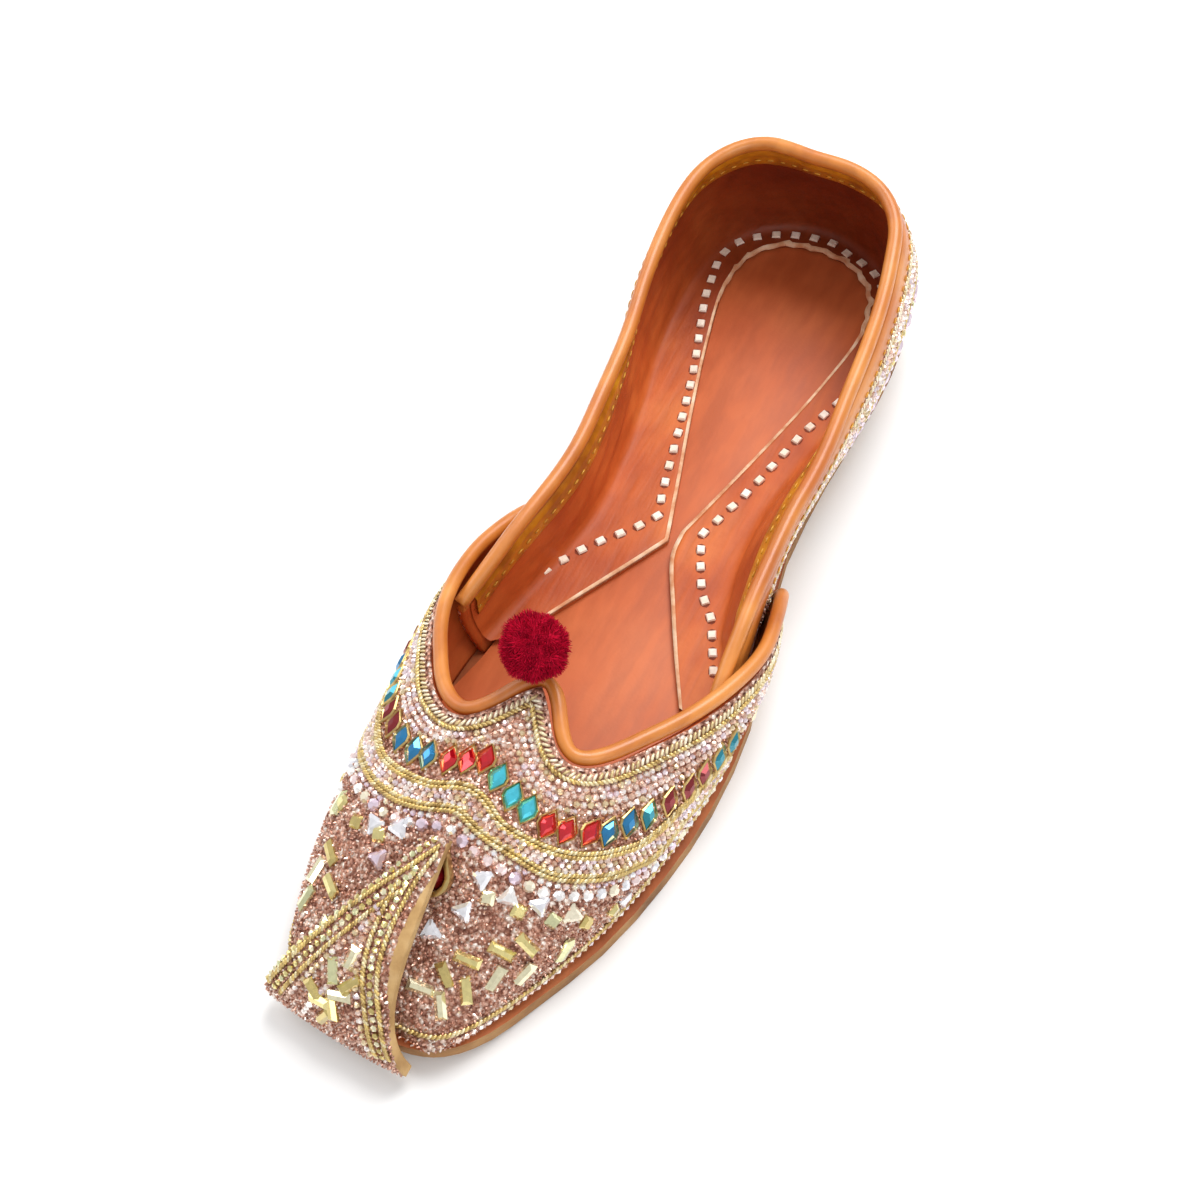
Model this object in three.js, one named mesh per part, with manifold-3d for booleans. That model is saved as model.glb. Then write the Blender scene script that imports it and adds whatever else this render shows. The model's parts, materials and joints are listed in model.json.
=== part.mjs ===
// A left mojari: a flat slip-on leather shoe with a heart-cut throat, a toe leather that curls
// back onto the vamp, and a pompom at the notch of the throat.
// Millimetres. +X is the wearer's outer (lateral) side, -Y the toe, +Y the heel, +Z up.
import * as THREE from 'three';
import { mergeVertices } from 'three/addons/utils/BufferGeometryUtils.js';
import Module from 'manifold-3d';

const wasm = await Module();
wasm.setup();

// Driving dimensions
const lastLength = 244;
const ballWidth = 71.5;
const instepHeight = 40;
const heelHeight = 43;
const waistHeight = 28;
const soleThickness = 4;
const toeSpring = 3.5;
const soleMargin = 2.2;
const vampWall = 2;
const quarterWall = 1.8;
const insoleThickness = 1.6;
const turnInThickness = 1.2;
const vampPipingWidth = 3.6;
const quarterPipingWidth = 3.8;
const toeFlapWidth = 34;
const toeFlapThickness = 2.6;
const toeFlapRise = 35;
const pompomDiameter = 15;
const tipStoneLength = 10.5;
const heelStoneDiameter = 8.5;

// Clearances
const seatGap = 0.3;
const lapGap = 0.6;

const soleTop = soleThickness;
const upperBase = soleTop + seatGap;

// The sole's outline, from the middle of the toe round the outer side to the heel and back.
// along: share of the last's length from the toe. across: share of the ball width, + outer side.
const outlineRows = [
  { along: 0.010, across: -0.110 },
  { along: 0.011, across: 0.070 },
  { along: 0.022, across: 0.160 },
  { along: 0.048, across: 0.242 },
  { along: 0.095, across: 0.322 },
  { along: 0.168, across: 0.430 },
  { along: 0.250, across: 0.497 },
  { along: 0.324, across: 0.524 },
  { along: 0.414, across: 0.508 },
  { along: 0.496, across: 0.438 },
  { along: 0.578, across: 0.372 },
  { along: 0.680, across: 0.360 },
  { along: 0.762, across: 0.376 },
  { along: 0.844, across: 0.384 },
  { along: 0.910, across: 0.350 },
  { along: 0.961, across: 0.248 },
  { along: 0.991, across: 0.098 },
  { along: 1.000, across: -0.048 },
  { along: 0.992, across: -0.195 },
  { along: 0.965, across: -0.328 },
  { along: 0.914, across: -0.424 },
  { along: 0.853, across: -0.452 },
  { along: 0.762, across: -0.420 },
  { along: 0.680, across: -0.362 },
  { along: 0.598, across: -0.340 },
  { along: 0.516, across: -0.364 },
  { along: 0.434, across: -0.420 },
  { along: 0.352, across: -0.456 },
  { along: 0.270, across: -0.458 },
  { along: 0.189, across: -0.436 },
  { along: 0.107, across: -0.410 },
  { along: 0.052, across: -0.392 },
  { along: 0.022, across: -0.366 },
];

// The last, section by section. crown: height of the section's top over the sole, as a share of
// the instep height (over the quarter it is the open top that the side walls aim at).
// bellyInner and bellyOuter: how far each flank swells past the sole, as a share of the ball width.
const lastRows = [
  { along: 0.018, crown: 0.150, bellyInner: 0.020, bellyOuter: 0.006 },
  { along: 0.052, crown: 0.290, bellyInner: 0.060, bellyOuter: 0.010 },
  { along: 0.096, crown: 0.480, bellyInner: 0.086, bellyOuter: 0.016 },
  { along: 0.134, crown: 0.640, bellyInner: 0.098, bellyOuter: 0.020 },
  { along: 0.170, crown: 0.760, bellyInner: 0.098, bellyOuter: 0.022 },
  { along: 0.210, crown: 0.850, bellyInner: 0.094, bellyOuter: 0.024 },
  { along: 0.250, crown: 0.910, bellyInner: 0.093, bellyOuter: 0.026 },
  { along: 0.300, crown: 0.970, bellyInner: 0.092, bellyOuter: 0.030 },
  { along: 0.350, crown: 1.050, bellyInner: 0.088, bellyOuter: 0.040 },
  { along: 0.414, crown: 1.250, bellyInner: 0.070, bellyOuter: 0.054 },
  { along: 0.480, crown: 1.560, bellyInner: 0.062, bellyOuter: 0.082 },
  { along: 0.550, crown: 1.800, bellyInner: 0.064, bellyOuter: 0.122 },
  { along: 0.640, crown: 1.900, bellyInner: 0.066, bellyOuter: 0.134 },
  { along: 0.760, crown: 1.900, bellyInner: 0.068, bellyOuter: 0.106 },
  { along: 0.860, crown: 1.900, bellyInner: 0.060, bellyOuter: 0.062 },
  { along: 1.000, crown: 1.900, bellyInner: 0.038, bellyOuter: 0.034 },
];
const flankPower = 2.4;
const crownPower = 2.1;
const heelLean = 12.5;
const heelLeanPower = 1.7;
const heelBulge = 2.4;

// The vamp's back edge. turn: place on the section, from the sole's outer edge (0) over the top
// to its inner edge (1). along: share of the last's length from the toe.
const throatRows = [
  { turn: 0.000, along: 0.512 },
  { turn: 0.045, along: 0.514 },
  { turn: 0.062, along: 0.508 },
  { turn: 0.080, along: 0.490 },
  { turn: 0.110, along: 0.450 },
  { turn: 0.160, along: 0.400 },
  { turn: 0.215, along: 0.350 },
  { turn: 0.270, along: 0.305 },
  { turn: 0.330, along: 0.267 },
  { turn: 0.375, along: 0.252 },
  { turn: 0.415, along: 0.252 },
  { turn: 0.455, along: 0.268 },
  { turn: 0.485, along: 0.290 },
  { turn: 0.500, along: 0.300 },
  { turn: 0.515, along: 0.292 },
  { turn: 0.545, along: 0.270 },
  { turn: 0.585, along: 0.254 },
  { turn: 0.625, along: 0.254 },
  { turn: 0.680, along: 0.272 },
  { turn: 0.740, along: 0.310 },
  { turn: 0.800, along: 0.358 },
  { turn: 0.850, along: 0.402 },
  { turn: 0.895, along: 0.450 },
  { turn: 0.922, along: 0.488 },
  { turn: 0.938, along: 0.506 },
  { turn: 0.955, along: 0.512 },
  { turn: 1.000, along: 0.510 },
];

// How far the vamp's wings stand off the quarter, as a share of the ball width.
const wingRows = [
  { along: 0.300, standInner: 0.000, standOuter: 0.000 },
  { along: 0.360, standInner: 0.024, standOuter: 0.024 },
  { along: 0.430, standInner: 0.052, standOuter: 0.040 },
  { along: 0.480, standInner: 0.050, standOuter: 0.034 },
  { along: 0.520, standInner: 0.030, standOuter: 0.016 },
];

// The quarter's top edge. along: share of the last's length from the toe. waist and heel: shares
// of the waist height and of the heel's rise over it, which add up to the edge's height.
const toplineRows = [
  { along: 0.372, waist: 0.74, heel: 0.00 },
  { along: 0.420, waist: 0.90, heel: 0.00 },
  { along: 0.480, waist: 0.99, heel: 0.00 },
  { along: 0.560, waist: 1.00, heel: 0.02 },
  { along: 0.640, waist: 1.00, heel: 0.12 },
  { along: 0.720, waist: 1.00, heel: 0.30 },
  { along: 0.800, waist: 1.00, heel: 0.55 },
  { along: 0.880, waist: 1.00, heel: 0.80 },
  { along: 0.940, waist: 1.00, heel: 0.94 },
  { along: 1.000, waist: 1.00, heel: 1.00 },
];
const quarterFront = 0.372;

// The toe flap's outer face, from the sole's front edge over the arch to its tip on the vamp.
// reach: how far in front of the sole's front edge, in the flap's own thicknesses (+ forward),
// back: share of the last's length behind that edge. rise: share of the tip's height over the sole.
// width: share of the flap's width. drift: place of its middle, as a share of the ball width.
// skew: how far the outer edge lies in front of the middle, as a share of the half width.
const flapRows = [
  { reach: 1.13, back: 0.000, rise: -0.110, width: 1.03, drift: -0.147, skew: 0.10 },
  { reach: 1.14, back: 0.000, rise: 0.055, width: 0.98, drift: -0.152, skew: 0.10 },
  { reach: 0.45, back: 0.000, rise: 0.236, width: 0.87, drift: -0.152, skew: 0.11 },
  { reach: 0.00, back: 0.012, rise: 0.418, width: 0.73, drift: -0.143, skew: 0.12 },
  { reach: 0.00, back: 0.031, rise: 0.575, width: 0.60, drift: -0.120, skew: 0.14 },
  { reach: 0.00, back: 0.053, rise: 0.709, width: 0.47, drift: -0.093, skew: 0.17 },
  { reach: 0.00, back: 0.078, rise: 0.818, width: 0.345, drift: -0.067, skew: 0.20 },
  { reach: 0.00, back: 0.103, rise: 0.909, width: 0.23, drift: -0.044, skew: 0.24 },
  { reach: 0.00, back: 0.122, rise: 0.995, width: 0.15, drift: -0.026, skew: 0.28 },
  { reach: 0.00, back: 0.138, rise: 1.050, width: 0.09, drift: -0.012, skew: 0.30 },
];
const flapCrown = 0.05;
const toeSkew = 0.1;
const toeSkewLength = 26;

// The lining's turned-in edge over the footbed, from the heel's middle to the front end.
// along and across as in the outline.
const turnInInner = [
  { along: 0.956, across: -0.040 },
  { along: 0.948, across: -0.170 },
  { along: 0.922, across: -0.262 },
  { along: 0.870, across: -0.288 },
  { along: 0.790, across: -0.232 },
  { along: 0.700, across: -0.148 },
  { along: 0.620, across: -0.066 },
  { along: 0.553, across: 0.001 },
  { along: 0.510, across: -0.077 },
  { along: 0.450, across: -0.189 },
  { along: 0.392, across: -0.296 },
];
const turnInOuter = [
  { along: 0.956, across: -0.040 },
  { along: 0.944, across: 0.110 },
  { along: 0.912, across: 0.205 },
  { along: 0.860, across: 0.238 },
  { along: 0.780, across: 0.200 },
  { along: 0.700, across: 0.140 },
  { along: 0.620, across: 0.072 },
  { along: 0.566, across: 0.024 },
  { along: 0.534, across: 0.038 },
  { along: 0.486, across: 0.120 },
  { along: 0.439, across: 0.206 },
  { along: 0.386, across: 0.310 },
];

const leatherTan = new THREE.MeshStandardMaterial({ color: 0xc98a52, roughness: 0.6 });
const leatherOrange = new THREE.MeshStandardMaterial({ color: 0xd07c34, roughness: 0.5 });
const liningRust = new THREE.MeshStandardMaterial({ color: 0xc4622f, roughness: 0.6 });
const footbedSalmon = new THREE.MeshStandardMaterial({ color: 0xd67850, roughness: 0.6 });
const beadedRose = new THREE.MeshStandardMaterial({ color: 0xc79a80, roughness: 0.45, metalness: 0.4 });
const woolCrimson = new THREE.MeshStandardMaterial({ color: 0x9c1030, roughness: 0.95 });
const gold = new THREE.MeshStandardMaterial({ color: 0xcaa24c, roughness: 0.3, metalness: 0.9 });
const garnet = new THREE.MeshStandardMaterial({ color: 0x4a0710, roughness: 0.1 });

const lengthAt = (along) => (along - 0.5) * lastLength;
const alongAt = (y) => y / lastLength + 0.5;
const clamp = (value, low, high) => Math.min(high, Math.max(low, value));
const smoothStep = (low, high, value) => {
  const t = clamp((value - low) / (high - low), 0, 1);
  return t * t * (3 - 2 * t);
};

// A smooth curve through one column of a table, read at any value of its key column.
function readTable(rows, key, at, column) {
  const last = rows.length - 1;
  const x = clamp(at, rows[0][key], rows[last][key]);
  let i = 0;
  while (i < last - 1 && x > rows[i + 1][key]) i += 1;
  const slope = (a, b) => (rows[b][column] - rows[a][column]) / (rows[b][key] - rows[a][key]);
  const width = rows[i + 1][key] - rows[i][key];
  const startSlope = slope(Math.max(0, i - 1), i + 1);
  const endSlope = slope(i, Math.min(last, i + 2));
  const t = (x - rows[i][key]) / width;
  const h00 = (1 + 2 * t) * (1 - t) * (1 - t);
  const h01 = t * t * (3 - 2 * t);
  const h10 = t * (1 - t) * (1 - t) * width;
  const h11 = t * t * (t - 1) * width;
  return h00 * rows[i][column] + h01 * rows[i + 1][column] + h10 * startSlope + h11 * endSlope;
}

// The sole's outline as a closed curve, sampled once; toe first, then the outer side.
const outlineCurve = new THREE.CatmullRomCurve3(
  outlineRows.map((row) => new THREE.Vector3(row.across * ballWidth, lengthAt(row.along), 0)),
  true,
  'centripetal',
);
const outlineSteps = 720;
const outline = outlineCurve.getPoints(outlineSteps).slice(0, outlineSteps);
const outlineNormals = outline.map((point, i) => {
  const before = outline[(i + outlineSteps - 3) % outlineSteps];
  const after = outline[(i + 3) % outlineSteps];
  const along = after.clone().sub(before).normalize();
  return new THREE.Vector3(along.y, -along.x, 0);
});
const heelIndex = outline.reduce((best, p, i) => (p.y > outline[best].y ? i : best), 0);

// The outline's x on one side (+1 outer, -1 inner) at a given y.
function sideX(side, y) {
  const from = side > 0 ? 0 : heelIndex;
  const to = side > 0 ? heelIndex : outlineSteps;
  const sign = side > 0 ? 1 : -1;
  for (let i = from; i < to; i += 1) {
    const a = outline[i];
    const b = outline[(i + 1) % outlineSteps];
    if (sign * (b.y - a.y) > 0 && sign * (y - a.y) >= 0 && sign * (b.y - y) >= 0) {
      const t = (y - a.y) / (b.y - a.y);
      if (side * (a.x + (b.x - a.x) * t - middleX) > 0) return a.x + (b.x - a.x) * t;
    }
  }
  return middleX;
}
const middleX = outline[0].x;

// Lift of the sole and of all that stands on it, where the toe springs off the floor.
const springStart = 0.13;
function springAt(y) {
  const t = clamp((springStart - alongAt(y)) / springStart, 0, 1.15);
  return toeSpring * t * t;
}

// One section of the last at y, drawn in by inset; turn runs from the outer sole edge (0)
// over the top (1/2) to the inner sole edge (1).
function sectionAt(y, inset) {
  const along = alongAt(y);
  const outer = sideX(1, y) - soleMargin - inset;
  const inner = sideX(-1, y) + soleMargin + inset;
  return {
    middle: (outer + inner) / 2,
    half: (outer - inner) / 2,
    crown: Math.max(0.4, readTable(lastRows, 'along', along, 'crown') * (instepHeight - upperBase) - inset),
    bellyInner: readTable(lastRows, 'along', along, 'bellyInner') * ballWidth,
    bellyOuter: readTable(lastRows, 'along', along, 'bellyOuter') * ballWidth,
  };
}

function flankOut(section, side, height) {
  const s = clamp(height / section.crown, 0, 1);
  const belly = side > 0 ? section.bellyOuter : section.bellyInner;
  const arch = section.half * (1 - s ** crownPower) ** (1 / flankPower);
  return arch + belly * 4 * s * (1 - s);
}

// Vamp
const vampFrontGap = 2.4;
const toeRounding = 5;
const soleFront = lengthAt(outlineRows[0].along);
const vampFront = soleFront + vampFrontGap;

function skewed(point, middle) {
  const fade = 1 - smoothStep(0, toeSkewLength, point.y - soleFront);
  point.y -= toeSkew * (point.x - middle) * fade;
  return point;
}

function throatY(turn) {
  return lengthAt(readTable(throatRows, 'turn', turn, 'along'));
}

function vampPoint(turn, y, front, inset) {
  const section = sectionAt(y, inset);
  const k = clamp((y - front) / toeRounding, 0, 1);
  section.crown *= Math.sqrt(1 - (1 - k) ** 2);
  section.crown = Math.max(section.crown, 0.001);
  const angle = Math.PI * turn;
  const height = section.crown * Math.abs(Math.sin(angle)) ** (2 / crownPower);
  const side = turn < 0.5 ? 1 : -1;
  const stand = readTable(wingRows, 'along', alongAt(y), side > 0 ? 'standOuter' : 'standInner');
  const lift = smoothStep(0, 0.5 * waistHeight, height) * (1 - smoothStep(0.8, 1, height / section.crown));
  const out = flankOut(section, side, height) + stand * ballWidth * lift;
  const point = new THREE.Vector3(section.middle + side * out, y, upperBase + height + springAt(y));
  return skewed(point, section.middle);
}

// A closed solid between an outer and an inner grid of points, rim strips included.
function wallSolid(outer, inner) {
  const rows = outer.length;
  const columns = outer[0].length;
  const positions = [];
  for (const grid of [outer, inner]) {
    for (const row of grid) for (const p of row) positions.push(p.x, p.y, p.z);
  }
  const at = (layer, i, j) => layer * rows * columns + i * columns + j;
  const faces = [];
  const quad = (a, b, c, d) => faces.push(a, b, c, a, c, d);
  for (let i = 0; i < rows - 1; i += 1) {
    for (let j = 0; j < columns - 1; j += 1) {
      quad(at(0, i, j), at(0, i + 1, j), at(0, i + 1, j + 1), at(0, i, j + 1));
      quad(at(1, i, j), at(1, i, j + 1), at(1, i + 1, j + 1), at(1, i + 1, j));
    }
  }
  for (let i = 0; i < rows - 1; i += 1) {
    const end = columns - 1;
    quad(at(0, i, 0), at(1, i, 0), at(1, i + 1, 0), at(0, i + 1, 0));
    quad(at(0, i, end), at(0, i + 1, end), at(1, i + 1, end), at(1, i, end));
  }
  for (let j = 0; j < columns - 1; j += 1) {
    const end = rows - 1;
    quad(at(0, 0, j), at(0, 0, j + 1), at(1, 0, j + 1), at(1, 0, j));
    quad(at(0, end, j), at(1, end, j), at(1, end, j + 1), at(0, end, j + 1));
  }
  return facingOut(positions, faces);
}

// Builds the geometry, with its faces turned outwards and doubled points merged.
function facingOut(positions, faces) {
  let volume = 0;
  const a = new THREE.Vector3();
  const b = new THREE.Vector3();
  const c = new THREE.Vector3();
  for (let f = 0; f < faces.length; f += 3) {
    a.fromArray(positions, 3 * faces[f]);
    b.fromArray(positions, 3 * faces[f + 1]);
    c.fromArray(positions, 3 * faces[f + 2]);
    volume += a.dot(b.cross(c));
  }
  if (volume < 0) faces.reverse();
  const geometry = new THREE.BufferGeometry();
  geometry.setAttribute('position', new THREE.Float32BufferAttribute(positions, 3));
  geometry.setIndex(faces);
  return mergeVertices(geometry, 1e-4);
}

const vampTurns = 46;
const vampRows = 12;
const vampFirstSteps = [0, 0.02, 0.1, 0.28, 0.55, 1];

// Places of the vamp's cross lines between its front and its back edge, dense round the toe.
function vampStations(front, back) {
  const stations = vampFirstSteps.map((k) => front + k * toeRounding);
  const start = stations[stations.length - 1];
  for (let j = 1; j <= vampRows; j += 1) stations.push(start + ((back - start) * j) / vampRows);
  return stations;
}

function vampGrid(inset) {
  const grid = [];
  for (let i = 0; i <= vampTurns; i += 1) {
    const turn = i / vampTurns;
    const stations = vampStations(vampFront + inset, throatY(turn));
    grid.push(stations.map((y) => vampPoint(turn, y, vampFront + inset, inset)));
  }
  return grid;
}
const vampGeometry = wallSolid(vampGrid(0), vampGrid(vampWall));

// Quarter
const lapEnd = lengthAt(0.53);
const lapFade = 26;
const freeInset = 0.5;

// How far the quarter's outer face lies inside the last: under the wings it clears the vamp.
function quarterInset(y) {
  const underWing = 1 - smoothStep(lapEnd, lapEnd + lapFade, y);
  return freeInset + (vampWall + lapGap - freeInset) * underWing;
}

function toplineHeight(y) {
  const along = alongAt(y);
  const waist = readTable(toplineRows, 'along', along, 'waist') * waistHeight;
  const heel = readTable(toplineRows, 'along', along, 'heel') * (heelHeight - waistHeight);
  return waist + heel;
}

// The quarter's path along the outline: from the outer front end round the heel to the inner one.
function quarterPath(steps) {
  const front = lengthAt(quarterFront);
  const inside = [];
  outline.forEach((point, i) => {
    if (point.y >= front) inside.push(i);
  });
  const path = [];
  for (let k = 0; k <= steps; k += 1) path.push(inside[Math.round((k * (inside.length - 1)) / steps)]);
  return path;
}

function quarterPoint(index, lift, wall) {
  const foot = outline[index];
  const normal = outlineNormals[index];
  const side = index < heelIndex ? 1 : -1;
  const turning = smoothStep(lengthAt(0.6), lengthAt(0.75), foot.y);
  const flat = new THREE.Vector3(side, 0, 0);
  const outward = flat.lerp(normal, turning).normalize();
  const top = toplineHeight(foot.y) - upperBase;
  const height = top * lift;
  const section = sectionAt(Math.min(foot.y, lengthAt(0.86)), 0);
  const backness = Math.max(0, outward.y);
  const swell = (flankOut(section, side, height) - section.half) * (1 - backness ** 2);
  const lean = heelLean * backness ** 1.5 * (height / (heelHeight - upperBase)) ** heelLeanPower;
  const cup = heelBulge * 4 * lift * (1 - lift) * turning * (1 - 0.6 * backness);
  const out = swell + cup - lean - soleMargin - quarterInset(foot.y) - wall;
  const point = foot.clone().addScaledVector(outward, out);
  point.z = upperBase + height;
  return point;
}

const quarterSteps = 48;
const quarterLifts = 6;

function quarterGrid(wall) {
  return quarterPath(quarterSteps).map((index) => {
    const line = [];
    for (let j = 0; j <= quarterLifts; j += 1) line.push(quarterPoint(index, j / quarterLifts, wall));
    return line;
  });
}
const quarterGeometry = wallSolid(quarterGrid(0), quarterGrid(quarterWall));

// A bead of round section along a path, as rolled leather over a shell's free edge.
function beadGeometry(points, width, steps) {
  const path = new THREE.CatmullRomCurve3(points, false, 'centripetal');
  const section = new THREE.Shape();
  section.absarc(0, 0, width / 2, 0, 2 * Math.PI, false);
  const bead = new THREE.ExtrudeGeometry(section, { extrudePath: path, steps, curveSegments: 4, bevelEnabled: false });
  bead.deleteAttribute('normal');
  bead.deleteAttribute('uv');
  return mergeVertices(bead, 1e-4);
}

// The middle of a wall's free edge, raised along the wall by the bead's radius and its gap.
function edgePoint(outerEdge, innerEdge, outerBelow, width) {
  const middle = outerEdge.clone().add(innerEdge).multiplyScalar(0.5);
  const up = outerEdge.clone().sub(outerBelow).normalize();
  return middle.addScaledVector(up, width / 2 + seatGap);
}

function quarterPipingPoints() {
  return quarterPath(quarterSteps).map((index) => edgePoint(
    quarterPoint(index, 1, 0),
    quarterPoint(index, 1, quarterWall),
    quarterPoint(index, 0.9, 0),
    quarterPipingWidth,
  ));
}

const vampPipingSamples = 84;
const pipingStartTurn = 0.02;
const edgeStep = 1.5;

function vampPipingPoints() {
  const points = [];
  for (let i = 0; i <= vampPipingSamples; i += 1) {
    const turn = pipingStartTurn + ((1 - 2 * pipingStartTurn) * i) / vampPipingSamples;
    const edge = (t, inset) => vampPoint(t, throatY(t), vampFront + inset, inset);
    const outer = edge(turn, 0);
    const inner = edge(turn, vampWall);
    const ahead = edge(turn + 0.004, 0).sub(edge(turn - 0.004, 0)).normalize();
    const wall = outer.clone().sub(inner).normalize();
    const away = ahead.clone().cross(wall).normalize();
    const below = vampPoint(turn, throatY(turn) - edgeStep, vampFront, 0);
    if (away.dot(outer.clone().sub(below)) < 0) away.negate();
    points.push(outer.add(inner).multiplyScalar(0.5).addScaledVector(away, vampPipingWidth / 2 + seatGap));
  }
  return points;
}

// Sole, insole and turned-in lining: flat sheets between two edge lines of matching points.
function sheetSolid(left, right, bottomAt, topAt) {
  const layer = (edge, heightAt) => edge.map((p) => new THREE.Vector3(p.x, p.y, heightAt(p.y)));
  const middleEdge = left.map((p, i) => p.clone().add(right[i]).multiplyScalar(0.5));
  const edges = [left, middleEdge, right];
  const outer = edges.map((edge) => layer(edge, topAt));
  const inner = edges.map((edge) => layer(edge, bottomAt));
  return wallSolid(outer, inner);
}

// Points of one side of the outline from toe to heel, drawn in by inset(y).
function sideLine(side, count, inset, startY, endY) {
  const line = [];
  for (let k = 0; k <= count; k += 1) {
    const t = k / count;
    const eased = (1 - Math.cos(Math.PI * t)) / 2;
    const share = 0.35 * t + 0.65 * eased;
    const from = side > 0 ? 0 : outlineSteps;
    const index = Math.round(from + (heelIndex - from) * share) % outlineSteps;
    const point = outline[index].clone().addScaledVector(outlineNormals[index], -inset(outline[index].y));
    if (point.y >= startY && point.y <= endY) line.push(point);
  }
  return line;
}

const soleSteps = 44;
const soleGeometry = sheetSolid(
  sideLine(1, soleSteps, () => 0, -lastLength, lastLength),
  sideLine(-1, soleSteps, () => 0, -lastLength, lastLength),
  (y) => springAt(y),
  (y) => soleTop + springAt(y),
);

// The footbed lies inside both shells, so it is narrowest where the wings lap the quarter.
function insoleInset(y) {
  const insideQuarter = soleMargin + quarterInset(y) + quarterWall + seatGap;
  const insideVamp = soleMargin + vampWall + seatGap + vampFrontGap * (1 - smoothStep(0, 12, y - soleFront));
  const lapped = smoothStep(lengthAt(quarterFront) - 16, lengthAt(quarterFront) - 3, y);
  return insideVamp + (insideQuarter - insideVamp) * lapped;
}
const insoleBase = soleTop + seatGap;
const insoleTop = insoleBase + insoleThickness;
const insoleSteps = 36;
const insoleGeometry = sheetSolid(
  sideLine(1, insoleSteps, insoleInset, -lastLength, lastLength),
  sideLine(-1, insoleSteps, insoleInset, -lastLength, lastLength),
  (y) => insoleBase + springAt(y),
  (y) => insoleTop + springAt(y),
);

const turnInBase = insoleTop + seatGap;
const turnInTop = turnInBase + turnInThickness;
const turnInSteps = 24;

// One half of the turned-in lining, between the footbed's edge and the lining's cut edge.
function turnInGeometry(side, rows, apexGap) {
  const cutCurve = new THREE.CatmullRomCurve3(
    rows.map((row) => new THREE.Vector3(row.across * ballWidth + side * apexGap, lengthAt(row.along), 0)),
    false,
    'centripetal',
  );
  const cut = cutCurve.getPoints(turnInSteps);
  const front = cut[turnInSteps].y;
  const wallLine = sideLine(side, 400, insoleInset, front, lastLength);
  const edge = cut.map((point, k) => {
    const share = 1 - k / turnInSteps;
    return wallLine[Math.round(share * (wallLine.length - 1))].clone();
  });
  edge[0].x += side * apexGap;
  return sheetSolid(cut, edge, () => turnInBase, () => turnInTop);
}

// Toe flap
const flapSteps = 20;
const flapAcross = 6;
const flapBase = soleTop + toeSpring;

const flapTable = flapRows.map((row, i) => ({ ...row, place: i / (flapRows.length - 1) }));

function flapCentre(t) {
  const read = (column) => readTable(flapTable, 'place', t, column);
  const forward = read('reach') * toeFlapThickness;
  return {
    x: read('drift') * ballWidth,
    y: soleFront - forward + read('back') * lastLength,
    z: flapBase + read('rise') * (toeFlapRise - flapBase),
    half: (read('width') * toeFlapWidth) / 2,
    skew: read('skew'),
  };
}

function flapGrid(depth) {
  const grid = [];
  for (let i = 0; i <= flapSteps; i += 1) {
    const t = i / flapSteps;
    const centre = flapCentre(t);
    const before = flapCentre(Math.max(0, t - 0.01));
    const after = flapCentre(Math.min(1, t + 0.01));
    const tangent = new THREE.Vector2(after.y - before.y, after.z - before.z).normalize();
    const line = [];
    for (let j = 0; j <= flapAcross; j += 1) {
      const u = (2 * j) / flapAcross - 1;
      const crown = flapCrown * centre.half * (1 - u * u);
      const x = centre.x + u * centre.half;
      const y = centre.y + tangent.y * (depth - crown) - centre.skew * u * centre.half;
      line.push(new THREE.Vector3(x, y, centre.z - tangent.x * (depth - crown)));
    }
    grid.push(line);
  }
  return grid;
}
const flapGeometry = wallSolid(flapGrid(0), flapGrid(toeFlapThickness));

// manifold-3d joins the pompom's locks to its core.
function asManifold(geometry) {
  const bare = geometry.clone();
  bare.deleteAttribute('normal');
  bare.deleteAttribute('uv');
  const merged = mergeVertices(bare, 1e-4);
  return new wasm.Manifold(new wasm.Mesh({
    numProp: 3,
    vertProperties: new Float32Array(merged.getAttribute('position').array),
    triVerts: new Uint32Array(merged.getIndex().array),
  }));
}

function asGeometry(solid) {
  const mesh = solid.getMesh();
  const geometry = new THREE.BufferGeometry();
  geometry.setAttribute('position', new THREE.BufferAttribute(mesh.vertProperties, 3));
  geometry.setIndex(new THREE.BufferAttribute(mesh.triVerts, 1));
  return geometry;
}

// A ball with pointed locks standing out all round, spread evenly by the golden angle.
function pompomGeometry() {
  const radius = pompomDiameter / 2;
  const coreShare = 0.9;
  const lockCount = 40;
  const lockRadius = 0.24 * radius;
  const lockLength = 0.3 * radius;
  let ball = asManifold(new THREE.IcosahedronGeometry(radius * coreShare, 2));
  const goldenAngle = Math.PI * (3 - Math.sqrt(5));
  const up = new THREE.Vector3(0, 1, 0);
  for (let k = 0; k < lockCount; k += 1) {
    const z = 1 - (2 * k + 1) / lockCount;
    const ring = Math.sqrt(1 - z * z);
    const out = new THREE.Vector3(ring * Math.cos(k * goldenAngle), ring * Math.sin(k * goldenAngle), z);
    const lock = new THREE.ConeGeometry(lockRadius, lockLength, 5);
    lock.applyQuaternion(new THREE.Quaternion().setFromUnitVectors(up, out));
    lock.translate(...out.multiplyScalar(radius - lockLength / 2).toArray());
    ball = ball.add(asManifold(lock));
  }
  return asGeometry(ball);
}

// The frame of the vamp's surface at a place on it.
function vampFrame(turn, y) {
  const place = vampPoint(turn, y, vampFront, 0);
  const across = vampPoint(turn + 0.03, y, vampFront, 0).sub(vampPoint(turn - 0.03, y, vampFront, 0)).normalize();
  const along = vampPoint(turn, y + 3, vampFront, 0).sub(vampPoint(turn, y - 3, vampFront, 0)).normalize();
  const out = across.clone().cross(along).normalize();
  if (out.z < 0) out.negate();
  return { place, along, out };
}

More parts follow.
